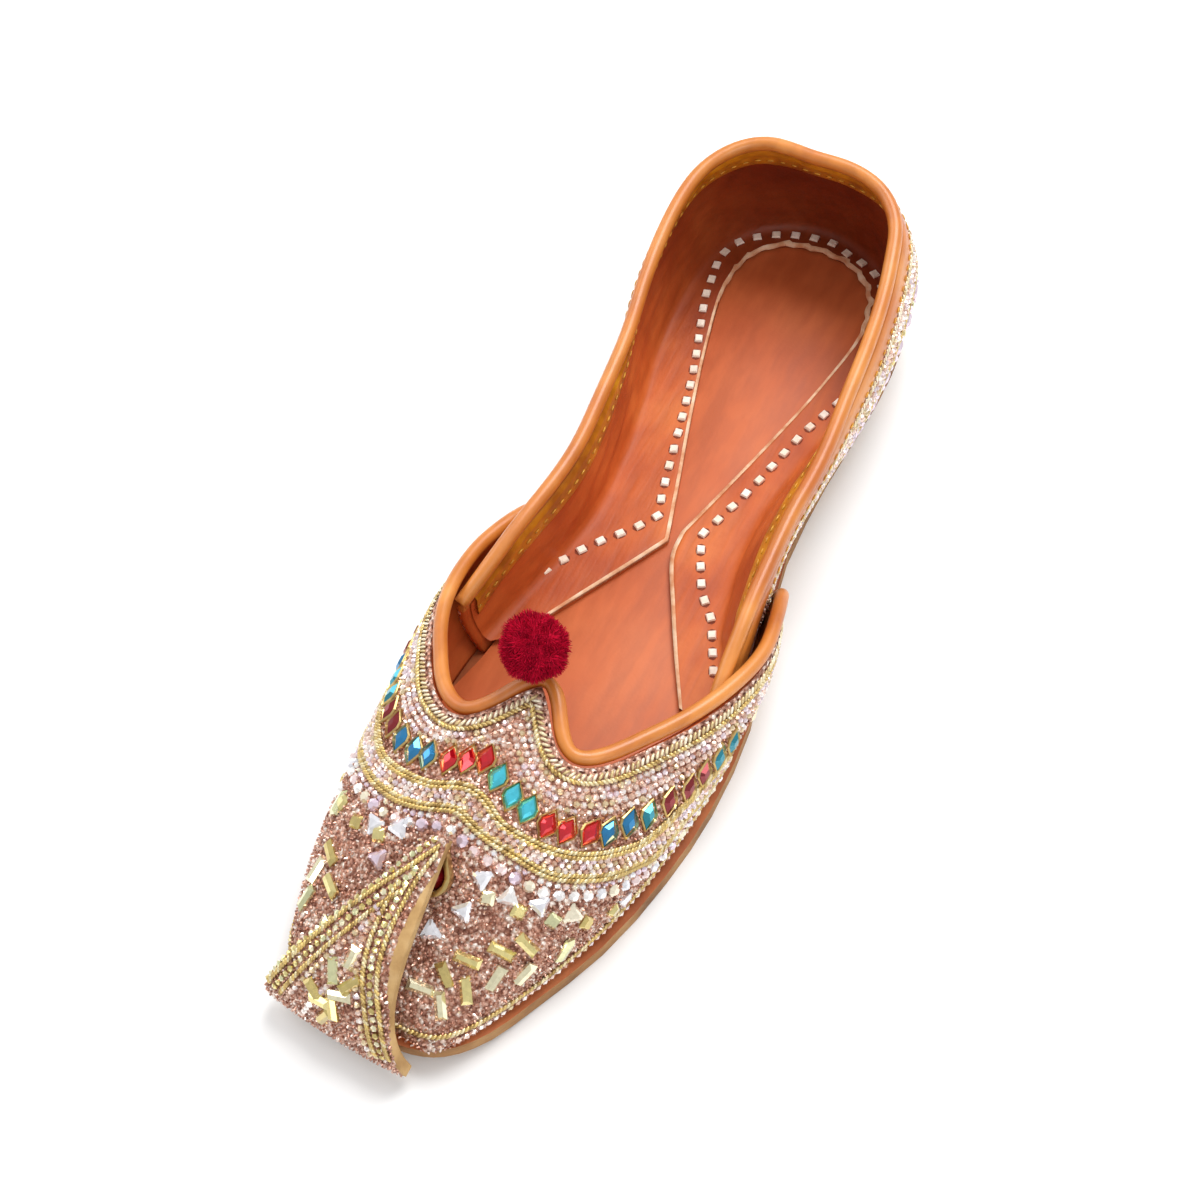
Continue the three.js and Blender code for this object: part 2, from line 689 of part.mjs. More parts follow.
// A teardrop outline with its round end at -y and its point at +y, and a round one.
function dropShape(length, grow) {
  const shape = new THREE.Shape();
  const radius = 0.38 * length + grow;
  const point = 0.62 * length + 1.5 * grow;
  shape.moveTo(0, point);
  shape.bezierCurveTo(-0.35 * radius, 0.55 * point, -radius, 0.4 * point, -radius, 0);
  shape.absarc(0, 0, radius, Math.PI, 2 * Math.PI, false);
  shape.bezierCurveTo(radius, 0.4 * point, 0.35 * radius, 0.55 * point, 0, point);
  return shape;
}

function roundShape(diameter, grow) {
  const shape = new THREE.Shape();
  shape.absarc(0, 0, diameter / 2 + grow, 0, 2 * Math.PI, false);
  return shape;
}

// A setting: a low wall round the stone.
const bezelWall = 1.1;
const bezelHeight = 2.6;

function bezelGeometry(outer, hole) {
  outer.holes.push(hole);
  const ring = new THREE.ExtrudeGeometry(outer, { depth: bezelHeight, bevelEnabled: false, curveSegments: 7 });
  ring.deleteAttribute('normal');
  ring.deleteAttribute('uv');
  return mergeVertices(ring, 1e-4);
}

// A cut stone: rings of the outline's points, closed by a flat table on top and a flat back.
const stoneRings = [
  { share: 1.00, up: 0.08 },
  { share: 1.00, up: 0.45 },
  { share: 0.62, up: 1.00 },
];
const stoneRise = 3.2;

function stoneGeometry(shape) {
  const edge = shape.getPoints(7);
  if (edge[0].distanceTo(edge[edge.length - 1]) < 1e-6) edge.pop();
  const positions = [];
  const faces = [];
  stoneRings.forEach((ring) => edge.forEach((p) => positions.push(ring.share * p.x, ring.share * p.y, ring.up * stoneRise)));
  const count = edge.length;
  for (let r = 0; r < stoneRings.length - 1; r += 1) {
    for (let i = 0; i < count; i += 1) {
      const a = r * count + i;
      const b = r * count + ((i + 1) % count);
      faces.push(a, b, b + count, a, b + count, a + count);
    }
  }
  const back = positions.length / 3;
  const table = back + 1;
  const top = (stoneRings.length - 1) * count;
  positions.push(0, 0, stoneRings[0].up * stoneRise, 0, 0, stoneRise);
  for (let i = 0; i < count; i += 1) {
    faces.push(back, (i + 1) % count, i, table, top + i, top + ((i + 1) % count));
  }
  return facingOut(positions, faces);
}

const shoe = new THREE.Group();
function addPiece(name, geometry, material) {
  const mesh = new THREE.Mesh(geometry, material);
  mesh.name = name;
  shoe.add(mesh);
  return mesh;
}

addPiece('outsole', soleGeometry, leatherTan);
addPiece('toe_flap', flapGeometry, beadedRose);
addPiece('vamp', vampGeometry, beadedRose);
addPiece('quarter', quarterGeometry, beadedRose);
addPiece('vamp_piping', beadGeometry(vampPipingPoints(), vampPipingWidth, 66), leatherOrange);
addPiece('quarter_piping', beadGeometry(quarterPipingPoints(), quarterPipingWidth, 50), leatherOrange);
addPiece('insole', insoleGeometry, footbedSalmon);
addPiece('turn_in_medial', turnInGeometry(-1, turnInInner, seatGap / 2), liningRust);
addPiece('turn_in_lateral', turnInGeometry(1, turnInOuter, seatGap / 2), liningRust);

// The pompom sits on the piping at the notch of the throat, a little to the inner side.
const notchPiping = vampPipingPoints()[vampPipingSamples / 2];
const pompomLean = new THREE.Vector3(-0.3, 0.1, 0.95).normalize();
const pompomSeat = (pompomDiameter + vampPipingWidth) / 2 + seatGap;
const pompom = addPiece('pompom', pompomGeometry(), woolCrimson);
pompom.position.copy(notchPiping).addScaledVector(pompomLean, pompomSeat);

// The teardrop stone lies on the vamp at the flap's tip, its point towards the heel.
const tipSeatY = lengthAt(0.129);
const tipFrame = vampFrame(0.5, tipSeatY);
const tipTurn = new THREE.Matrix4().makeBasis(
  tipFrame.along.clone().cross(tipFrame.out).normalize(),
  tipFrame.along,
  tipFrame.out,
);
const tipSeat = new THREE.Group();
tipSeat.quaternion.setFromRotationMatrix(tipTurn);
tipSeat.position.copy(tipFrame.place).addScaledVector(tipFrame.out, 3 * seatGap);
const tipDropLength = tipStoneLength - 2 * bezelWall;
const tipBezel = new THREE.Mesh(
  bezelGeometry(dropShape(tipDropLength, bezelWall), dropShape(tipDropLength, 0)),
  gold,
);
tipBezel.name = 'tip_bezel';
const tipStone = new THREE.Mesh(stoneGeometry(dropShape(tipDropLength, -seatGap)), garnet);
tipStone.name = 'tip_stone';
tipSeat.add(tipBezel, tipStone);
shoe.add(tipSeat);

// The round stone sits on the back of the heel, half-way up.
const heelLift = 0.5;
const heelPlace = quarterPoint(heelIndex, heelLift, 0);
const heelUp = quarterPoint(heelIndex, heelLift + 0.08, 0).sub(quarterPoint(heelIndex, heelLift - 0.08, 0)).normalize();
const heelSide = new THREE.Vector3(-1, 0, 0);
const heelOut = heelSide.clone().cross(heelUp).normalize();
const heelSeat = new THREE.Group();
heelSeat.quaternion.setFromRotationMatrix(new THREE.Matrix4().makeBasis(heelSide, heelUp, heelOut));
heelSeat.position.copy(heelPlace).addScaledVector(heelOut, 3 * seatGap);
const heelStoneGirdle = heelStoneDiameter - 2 * bezelWall;
const heelBezel = new THREE.Mesh(
  bezelGeometry(roundShape(heelStoneGirdle, bezelWall), roundShape(heelStoneGirdle, 0)),
  gold,
);
heelBezel.name = 'heel_bezel';
const heelStone = new THREE.Mesh(stoneGeometry(roundShape(heelStoneGirdle, -seatGap)), garnet);
heelStone.name = 'heel_stone';
heelSeat.add(heelBezel, heelStone);
shoe.add(heelSeat);

// The origin is on the floor under the middle of the whole shoe.
const box = new THREE.Box3().setFromObject(shoe, true);
const centre = box.getCenter(new THREE.Vector3());
shoe.position.set(-centre.x, -centre.y, -box.min.z);

export default shoe;
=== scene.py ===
import json
import math
import random
import bmesh
import bpy
from mathutils import Matrix, Vector
from mathutils.bvhtree import BVHTree
from mathutils.kdtree import KDTree
from mathutils.noise import noise as lumpAt

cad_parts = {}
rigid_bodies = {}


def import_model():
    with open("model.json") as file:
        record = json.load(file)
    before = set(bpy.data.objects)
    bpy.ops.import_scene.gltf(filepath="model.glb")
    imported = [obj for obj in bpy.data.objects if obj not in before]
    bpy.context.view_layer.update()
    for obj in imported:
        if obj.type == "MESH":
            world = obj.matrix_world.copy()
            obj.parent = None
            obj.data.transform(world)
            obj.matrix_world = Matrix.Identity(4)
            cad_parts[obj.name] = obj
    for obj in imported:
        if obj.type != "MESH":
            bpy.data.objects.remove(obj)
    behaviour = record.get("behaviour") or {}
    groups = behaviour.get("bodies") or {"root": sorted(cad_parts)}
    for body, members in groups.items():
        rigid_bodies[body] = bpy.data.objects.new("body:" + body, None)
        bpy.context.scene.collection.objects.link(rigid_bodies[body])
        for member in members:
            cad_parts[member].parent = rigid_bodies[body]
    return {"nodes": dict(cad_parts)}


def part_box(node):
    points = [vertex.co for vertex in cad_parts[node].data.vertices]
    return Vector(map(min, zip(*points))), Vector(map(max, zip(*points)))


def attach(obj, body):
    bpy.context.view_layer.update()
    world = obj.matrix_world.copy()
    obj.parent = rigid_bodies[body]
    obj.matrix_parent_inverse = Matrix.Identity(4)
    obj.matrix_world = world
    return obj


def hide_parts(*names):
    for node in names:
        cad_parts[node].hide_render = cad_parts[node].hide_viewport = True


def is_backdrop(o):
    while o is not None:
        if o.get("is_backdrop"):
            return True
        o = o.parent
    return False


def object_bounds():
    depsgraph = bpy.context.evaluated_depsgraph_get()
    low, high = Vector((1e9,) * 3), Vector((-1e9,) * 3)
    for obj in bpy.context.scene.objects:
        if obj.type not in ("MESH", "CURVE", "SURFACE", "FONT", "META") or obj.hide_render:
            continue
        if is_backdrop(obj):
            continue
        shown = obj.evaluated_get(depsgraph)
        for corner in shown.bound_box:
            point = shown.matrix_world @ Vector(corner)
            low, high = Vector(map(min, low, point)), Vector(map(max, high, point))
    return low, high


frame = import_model()
cadLow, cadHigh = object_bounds()
mm = 0.001
print("frame loaded")

# The photograph's camera: degrees, millimetres in the shoe's own frame, pixels of a 1200 square.
photo = {"elevation": 60.764, "turn": 20.496, "roll": -3.26, "focal": 1299.2, "middle": 600,
         "place": (115.12, -203.12, 367.53), "shift": (-1.487, 0.159), "depth": (300, 500)}
photoPlace = Vector(photo["place"]) * mm


def photoAxes():
    tilt, turn, roll = (math.radians(photo[key]) for key in ("elevation", "turn", "roll"))
    spin = Matrix.Rotation(turn, 3, "Z")
    forward = Vector((0, math.cos(tilt), -math.sin(tilt)))
    right = Vector((1, 0, 0))
    down = forward.cross(right)
    rolledRight = math.cos(roll) * right + math.sin(roll) * down
    rolledDown = math.cos(roll) * down - math.sin(roll) * right
    return spin @ rolledRight, spin @ rolledDown, spin @ forward


photoRight, photoDown, photoForward = photoAxes()


def photoRay(px, py):
    across, downward = ((v - photo["middle"]) / photo["focal"] for v in (px, py))
    return (photoForward + across * photoRight + downward * photoDown).normalized()


def tone(red, green, blue):
    shares = (c / 255 for c in (red, green, blue))
    return tuple(((c + 0.055) / 1.055) ** 2.4 if c > 0.04 else c / 12.92 for c in shares) + (1.0,)


# Objects and meshes


def newObject(name, mesh):
    obj = bpy.data.objects.new(name.replace(" ", "_"), mesh)
    bpy.context.scene.collection.objects.link(obj)
    return obj


def meshFrom(name, points, faces, edges=()):
    mesh = bpy.data.meshes.new(name)
    mesh.from_pydata([tuple(p) for p in points], list(edges), faces)
    mesh.update()
    return newObject(name, mesh)


def settle(obj):
    graph = bpy.context.evaluated_depsgraph_get()
    finished = bpy.data.meshes.new_from_object(obj.evaluated_get(graph),
                                               preserve_all_data_layers=True, depsgraph=graph)
    obj.modifiers.clear()
    obj.data = finished
    finished.name = obj.name
    return obj


def onShoe(obj, slotName, *replaced):
    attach(obj, "root")
    if replaced:
        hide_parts(*replaced)
    return obj


def mergedCopy(node, name):
    shape = bmesh.new()
    shape.from_mesh(frame["nodes"][node].data)
    bmesh.ops.remove_doubles(shape, verts=shape.verts, dist=0.002 * mm)
    bmesh.ops.join_triangles(shape, faces=shape.faces, angle_face_threshold=0.7,
                             angle_shape_threshold=1.2, cmp_seam=False)
    mesh = bpy.data.meshes.new(name)
    shape.to_mesh(mesh)
    shape.free()
    return newObject(name, mesh)


def smoothCopy(node, name, levels=2, sharp=50, crease=0.7):
    obj = mergedCopy(node, name)
    shape = bmesh.new()
    shape.from_mesh(obj.data)
    layer = shape.edges.layers.float.new("crease_edge")
    for edge in shape.edges:
        if len(edge.link_faces) == 2 and edge.calc_face_angle(0) > math.radians(sharp):
            edge[layer] = crease
    shape.to_mesh(obj.data)
    shape.free()
    rounding = obj.modifiers.new("rounding", "SUBSURF")
    rounding.levels = rounding.render_levels = levels
    settle(obj)
    obj.data.shade_smooth()
    return obj


def bevelledCopy(node, name, width, segments=2, angle=40):
    obj = mergedCopy(node, name)
    edge = obj.modifiers.new("edge", "BEVEL")
    edge.width, edge.segments = width * mm, segments
    edge.limit_method, edge.angle_limit = "ANGLE", math.radians(angle)
    edge.use_clamp_overlap = True
    settle(obj)
    obj.data.shade_smooth()
    obj.data.set_sharp_from_angle(angle=math.radians(45))
    return obj


def gridMesh(name, rows, closed=False):
    wide = len(rows[0])
    points = [p for row in rows for p in row]
    faces = []
    for r in range(len(rows) - 1):
        for c in range(wide if closed else wide - 1):
            d = (c + 1) % wide
            faces.append((r * wide + c, r * wide + d, (r + 1) * wide + d, (r + 1) * wide + c))
    obj = meshFrom(name, points, faces)
    obj.data.shade_smooth()
    return obj


def faceTree(obj, keep):
    mesh = obj.data
    points = [v.co.copy() for v in mesh.vertices]
    faces = [tuple(f.vertices) for f in mesh.polygons if keep(f.center, f.normal)]
    return BVHTree.FromPolygons(points, faces)


# Materials


def put(tree, kind, sockets=(), **settings):
    node = tree.nodes.new(kind)
    for key, value in settings.items():
        setattr(node, key, value)
    for key, value in dict(sockets).items():
        if isinstance(value, bpy.types.NodeSocket):
            tree.links.new(value, node.inputs[key])
        else:
            node.inputs[key].default_value = value
    return node


def ramp(tree, factor, stops, interpolation="LINEAR"):
    node = put(tree, "ShaderNodeValToRGB", {"Fac": factor})
    node.color_ramp.interpolation = interpolation
    elements = node.color_ramp.elements
    while len(elements) < len(stops):
        elements.new(0.5)
    for element, (place, colour) in zip(elements, stops):
        element.position, element.color = place, colour
    return node.outputs["Color"]


def mixed(tree, factor, first, second, blend="MIX"):
    node = put(tree, "ShaderNodeMix", {0: factor, 6: first, 7: second}, data_type="RGBA",
               blend_type=blend)
    return node.outputs[2]


def newMaterial(name, **sockets):
    material = bpy.data.materials.new(name)
    material.use_nodes = True
    shader = material.node_tree.nodes["Principled BSDF"]
    for key, value in sockets.items():
        shader.inputs[key.replace("_", " ")].default_value = value
    return material, material.node_tree, shader


def noise(tree, coords, scale, detail=3, stretch=None):
    if stretch:
        coords = put(tree, "ShaderNodeMapping", {"Vector": coords, "Scale": stretch}).outputs["Vector"]
    texture = put(tree, "ShaderNodeTexNoise", {"Vector": coords, "Scale": scale, "Detail": detail})
    return texture.outputs["Fac"]


def bumped(tree, shader, heights):
    normal = None
    for height, strength, distance in heights:
        node = put(tree, "ShaderNodeBump", {"Height": height, "Strength": strength,
                                            "Distance": distance * mm})
        if normal:
            tree.links.new(normal, node.inputs["Normal"])
        normal = node.outputs["Normal"]
    tree.links.new(normal, shader.inputs["Normal"])


# Leather: blotches of two tones, a fine pebble grain, pull marks, and colour darker where the pull marks
# sink.
def leather(name, look):
    material, tree, shader = newMaterial(name, Roughness=look.get("roughness", 0.5),
                                         Specular_IOR_Level=look.get("gloss", 0.4),
                                         Coat_Weight=look.get("coat", 0.0), Coat_Roughness=0.35)
    coords = put(tree, "ShaderNodeTexCoord").outputs["Object"]
    blotch = noise(tree, coords, look.get("blotch", 55), 4)
    colour = ramp(tree, blotch, [(0.34, look["deep"]), (0.55, look["base"]), (0.75, look["light"])])
    grain = put(tree, "ShaderNodeTexVoronoi", {"Vector": coords, "Scale": look.get("grain", 1100)},
                feature="SMOOTH_F1").outputs["Distance"]
    pulls = noise(tree, coords, look.get("pulls", 260), 5, look.get("stretch", (1, 0.25, 1)))
    fleck = ramp(tree, pulls, [(0.35, (0.72, 0.66, 0.6, 1)), (0.6, (1, 1, 1, 1))])
    colour = mixed(tree, 0.55, colour, fleck, "MULTIPLY")
    if "heelShade" in look:  # painted shade: darker deep in the heel, where shade falls
        start, full = look["heelShade"]
        along = put(tree, "ShaderNodeSeparateXYZ", {"Vector": coords}).outputs["Y"]
        share = put(tree, "ShaderNodeMapRange", {"Value": along, "From Min": start, "From Max": full})
        paintedHeelShade = mixed(tree, 1.0, colour, (0.42, 0.3, 0.26, 1), "MULTIPLY")
        colour = mixed(tree, share.outputs["Result"], colour, paintedHeelShade)
    tree.links.new(colour, shader.inputs["Base Color"])
    rough = put(tree, "ShaderNodeMapRange", {"Value": pulls, "To Min": look.get("roughness", 0.5) - 0.1,
                                             "To Max": look.get("roughness", 0.5) + 0.14})
    tree.links.new(rough.outputs["Result"], shader.inputs["Roughness"])
    bumped(tree, shader, [(grain, look.get("grainDepth", 0.35), 0.12),
                          (pulls, 0.5, look.get("pullDepth", 0.25))])
    return material


# Cloth closely sewn with seed beads, for the ground that shows between the modelled beads.
def beadCloth(name, look):
    material, tree, shader = newMaterial(name, Metallic=0.45, Roughness=0.34)
    coords = put(tree, "ShaderNodeTexCoord").outputs["Object"]
    cell = put(tree, "ShaderNodeTexVoronoi", {"Vector": coords, "Scale": look["pitch"], "Randomness": 0.8})
    split = put(tree, "ShaderNodeSeparateColor", {"Color": cell.outputs["Color"]})
    colour = ramp(tree, split.outputs["Red"], look["tints"], "CONSTANT")
    gap = ramp(tree, cell.outputs["Distance"], [(0.3, (1, 1, 1, 1)), (0.75, (0.42, 0.3, 0.25, 1))])
    colour = mixed(tree, 1.0, colour, gap, "MULTIPLY")
    tree.links.new(colour, shader.inputs["Base Color"])
    domed = put(tree, "ShaderNodeMath", {0: 1.0, 1: cell.outputs["Distance"]}, operation="SUBTRACT")
    bumped(tree, shader, [(domed.outputs["Value"], 1.0, 0.5)])
    return material


# A bead, stone or sequin: its colour comes from the tint number that each one carries.
def tinted(name, tints, metal=0.6, roughness=0.2, coat=0.6, interpolation="CONSTANT", gloss=0.5):
    material, tree, shader = newMaterial(name, Metallic=metal, Roughness=roughness, Coat_Weight=coat,
                                         Coat_Roughness=0.05, Specular_IOR_Level=gloss)
    tint = put(tree, "ShaderNodeAttribute", attribute_name="tint").outputs["Fac"]
    colour = ramp(tree, tint, tints, interpolation)
    coords = put(tree, "ShaderNodeTexCoord").outputs["Object"]
    speck = ramp(tree, noise(tree, coords, 900, 1),
                 [(0.35, (0.78, 0.78, 0.78, 1)), (0.6, (1, 1, 1, 1))])
    tree.links.new(mixed(tree, 0.6, colour, speck, "MULTIPLY"), shader.inputs["Base Color"])
    return material


# Geometry nodes: what is sewn on, along a line, over a patch, or one by one


def seatingTree(name, source):
    tree = bpy.data.node_groups.new(name, "GeometryNodeTree")
    face = tree.interface
    face.new_socket("Geometry", in_out="OUTPUT", socket_type="NodeSocketGeometry")
    face.new_socket("Geometry", in_out="INPUT", socket_type="NodeSocketGeometry")
    for label, kind, value in (("Bead", "NodeSocketObject", None), ("Finish", "NodeSocketMaterial", None),
                               ("Pitch", "NodeSocketFloat", 0.001), ("Smallest", "NodeSocketFloat", 0.9),
                               ("Slant", "NodeSocketFloat", 0.0), ("Twist", "NodeSocketFloat", 0.0),
                               ("Lean", "NodeSocketFloat", 0.0), ("Seed", "NodeSocketInt", 1)):
        socket = face.new_socket(label, in_out="INPUT", socket_type=kind)
        if value is not None:
            socket.default_value = value
    given = put(tree, "NodeGroupInput").outputs
    bead = put(tree, "GeometryNodeObjectInfo", {"Object": given["Bead"], "As Instance": True})
    outward = put(tree, "GeometryNodeInputNamedAttribute", {"Name": "outward"}, data_type="FLOAT_VECTOR")
    ahead = put(tree, "GeometryNodeInputNamedAttribute", {"Name": "ahead"}, data_type="FLOAT_VECTOR")

    def chance(low, high, offset):
        seed = put(tree, "ShaderNodeMath", {0: given["Seed"], 1: float(offset)}, operation="ADD")
        return put(tree, "FunctionNodeRandomValue", {2: low, 3: high, 8: seed.outputs[0]},
                   data_type="FLOAT").outputs[1]

    if source == "row":
        curve = put(tree, "GeometryNodeMeshToCurve", {"Mesh": given["Geometry"]})
        spaced = put(tree, "GeometryNodeResampleCurve",
                     {"Curve": curve.outputs[0], "Length": given["Pitch"]}, mode="LENGTH")
        points = spaced.outputs[0]
        tangent = put(tree, "GeometryNodeInputTangent").outputs[0]
        turned = put(tree, "FunctionNodeAxesToRotation", {0: outward.outputs[0], 1: tangent},
                     primary_axis="Z", secondary_axis="X").outputs[0]
    elif source == "patch":
        area = put(tree, "ShaderNodeMath", {0: given["Pitch"], 1: 2.0}, operation="POWER").outputs[0]
        density = put(tree, "ShaderNodeMath", {0: 5.0, 1: area}, operation="DIVIDE").outputs[0]
        sown = put(tree, "GeometryNodeDistributePointsOnFaces",
                   {"Mesh": given["Geometry"], "Distance Min": given["Pitch"], "Density Max": density,
                    "Seed": given["Seed"]}, distribute_method="POISSON")
        points = sown.outputs["Points"]
        turned = sown.outputs["Rotation"]
    else:
        points = given["Geometry"]
        turned = put(tree, "FunctionNodeAxesToRotation", {0: outward.outputs[0], 1: ahead.outputs[0]},
                     primary_axis="Z", secondary_axis="X").outputs[0]
    negative = put(tree, "ShaderNodeMath", {0: given["Twist"], 1: -1.0}, operation="MULTIPLY").outputs[0]
    spin = put(tree, "ShaderNodeMath", {0: chance(negative, given["Twist"], 1), 1: given["Slant"]},
               operation="ADD").outputs[0]
    back = put(tree, "ShaderNodeMath", {0: given["Lean"], 1: -1.0}, operation="MULTIPLY").outputs[0]
    euler = put(tree, "ShaderNodeCombineXYZ", {0: chance(back, given["Lean"], 2),
                                               1: chance(back, given["Lean"], 3), 2: spin})
    local = put(tree, "FunctionNodeEulerToRotation", {0: euler.outputs[0]})
    turned = put(tree, "FunctionNodeRotateRotation", {0: turned, 1: local.outputs[0]},
                 rotation_space="LOCAL").outputs[0]
    if source == "spots":
        scale = put(tree, "GeometryNodeInputNamedAttribute", {"Name": "size"},
                    data_type="FLOAT_VECTOR").outputs[0]
    else:
        scale = chance(given["Smallest"], 1.0, 4)
    placed = put(tree, "GeometryNodeInstanceOnPoints",
                 {"Points": points, "Instance": bead.outputs["Geometry"], "Rotation": turned,
                  "Scale": scale}).outputs[0]
    if source != "spots":
        placed = put(tree, "GeometryNodeStoreNamedAttribute",
                     {"Geometry": placed, "Name": "tint", "Value": chance(0.0, 1.0, 5)},
                     data_type="FLOAT", domain="INSTANCE").outputs[0]
    real = put(tree, "GeometryNodeRealizeInstances", {0: placed}).outputs[0]
    done = put(tree, "GeometryNodeSetMaterial", {"Geometry": real, "Material": given["Finish"]})
    put(tree, "NodeGroupOutput", {0: done.outputs[0]})
    return tree


trees = {source: seatingTree(label, source) for source, label in
         (("row", "sewn along a line"), ("patch", "sewn over a patch"), ("spots", "set one by one"))}


def seat(obj, source, bead, finish, **dials):
    tree = trees[source]
    sewing = obj.modifiers.new("sewing", "NODES")
    sewing.node_group = tree
    inputs = {item.name: item.identifier for item in tree.interface.items_tree if item.in_out == "INPUT"}
    sewing[inputs["Bead"]] = bead
    sewing[inputs["Finish"]] = finish
    for label, value in dials.items():
        sewing[inputs[label.capitalize()]] = value
    return settle(obj)


def vectorLayer(mesh, name, vectors):
    layer = mesh.attributes.new(name, "FLOAT_VECTOR", "POINT")
    layer.data.foreach_set("vector", [c for v in vectors for c in v])


def sewLines(name, lines, bead, finish, slotName, pitch, **dials):
    points, outward, edges = lines
    obj = meshFrom(name, points, [], edges)
    vectorLayer(obj.data, "outward", outward)
    return onShoe(seat(obj, "row", bead, finish, pitch=pitch * mm, **dials), slotName)


# trails: lists of (point, outward) pairs
def sewRows(name, trails, *rest, **dials):
    points, outward, edges = [], [], []
    for trail in trails:
        start = len(points)
        points += [p for p, n in trail]
        outward += [n for p, n in trail]
        edges += [(start + k, start + k + 1) for k in range(len(trail) - 1)]
    return sewLines(name, (points, outward, edges), *rest, **dials)


# spots: (point, outward, ahead, size, tint)
def setSpots(name, spots, bead, finish, slotName, **dials):
    obj = meshFrom(name, [s[0] for s in spots], [])
    vectorLayer(obj.data, "outward", [s[1] for s in spots])
    vectorLayer(obj.data, "ahead", [s[2] for s in spots])
    vectorLayer(obj.data, "size", [s[3] for s in spots])
    tint = obj.data.attributes.new("tint", "FLOAT", "POINT")
    tint.data.foreach_set("value", [s[4] for s in spots])
    return onShoe(seat(obj, "spots", bead, finish, **dials), slotName)


def sowPatch(name, source, keep, bead, finish, slotName, pitch, rise=0.0, **dials):
    shape = bmesh.new()
    shape.from_mesh(source.data)
    bmesh.ops.delete(shape, geom=[f for f in shape.faces if not keep(f.calc_center_median(), f.normal)],
                     context="FACES")
    for vert in shape.verts:
        vert.co += vert.normal * rise * mm
    mesh = bpy.data.meshes.new(name)
    shape.to_mesh(mesh)
    shape.free()
    return onShoe(seat(newObject(name, mesh), "patch", bead, finish, pitch=pitch * mm, **dials), slotName)


# Bead, stone and stitch shapes, each a few dozen faces, hidden and removed at the end

patterns = []


def pattern(name, points, faces, smooth=False):
    obj = meshFrom(name, [Vector(p) * mm for p in points], faces)
    shape = bmesh.new()
    shape.from_mesh(obj.data)
    bmesh.ops.recalc_face_normals(shape, faces=shape.faces)
    shape.to_mesh(obj.data)
    shape.free()
    if smooth:
        obj.data.shade_smooth()
    obj.hide_render = True
    patterns.append(obj)
    return obj


def roundBead(name, size, subdivisions=1, smooth=False, lift=0.0):
    shape = bmesh.new()
    bmesh.ops.create_icosphere(shape, subdivisions=subdivisions, radius=0.5)
    points = [(v.co.x * size[0], v.co.y * size[1], v.co.z * size[2] + lift) for v in shape.verts]
    faces = [tuple(v.index for v in f.verts) for f in shape.faces]
    shape.free()
    return pattern(name, points, faces, smooth)


# The quads between rings of points, each ring with the same count.
def ringFaces(rings, count):
    return [(r * count + k, r * count + (k + 1) % count,
             (r + 1) * count + (k + 1) % count, (r + 1) * count + k)
            for r in range(rings - 1) for k in range(count)]


# A stone cut from a flat outline: girdle, sloping crown and flat table.
def cutStone(name, outline, rise, table, sink=0.3):
    count = len(outline)
    rings = ((1.0, -sink), (1.0, rise * 0.3), (table, rise))
    points = [(x * share, y * share, z) for share, z in rings for x, y in outline]
    faces = ringFaces(len(rings), count)
    faces.append(tuple(range((len(rings) - 1) * count, len(rings) * count)))
    faces.append(tuple(reversed(range(count))))
    return pattern(name, points, faces)


# A low bead with a cut top and no underside, for the ground where thousands stand.
def openStone(name, outline, rise, table, sink):
    count = len(outline)
    rings = ((1.0, -sink), (table, rise))
    points = [(x * share, y * share, z) for share, z in rings for x, y in outline]
    return pattern(name, points, ringFaces(2, count) + [tuple(range(count, 2 * count))])


# A bar stone: steep crown facets of one width all round a narrow table.
def barStone(name, foot, table, rise):
    corners = ((1, 1), (-1, 1), (-1, -1), (1, -1))
    rings = ((*foot, -0.3), (*foot, 0.35), (*table, rise))
    points = [(x * a, y * b, z) for a, b, z in rings for x, y in corners]
    return pattern(name, points, ringFaces(3, 4) + [(8, 9, 10, 11), (3, 2, 1, 0)])


# The metal rim round such a stone.
def rimFrame(name, outline, wall, rise, sink=0.3):
    count = len(outline)
    grown = [(x + wall * x / math.hypot(x, y), y + wall * y / math.hypot(x, y)) for x, y in outline]
    mid = [((x + u) / 2, (y + v) / 2) for (x, y), (u, v) in zip(outline, grown)]
    rings = ([(x, y, -sink) for x, y in grown], [(x, y, rise * 0.6) for x, y in grown],
             [(x, y, rise) for x, y in mid], [(x, y, rise * 0.4) for x, y in outline])
    points = [p for ring in rings for p in ring]
    faces = ringFaces(len(rings), count)
    faces.append(tuple(reversed(range(count))))
    faces.append(tuple(range(3 * count, 4 * count)))
    return pattern(name, points, faces)


def ring(count, across, along=None, turn=0.0):
    along = along or across
    return [(across / 2 * math.cos(2 * math.pi * k / count + turn),
             along / 2 * math.sin(2 * math.pi * k / count + turn)) for k in range(count)]


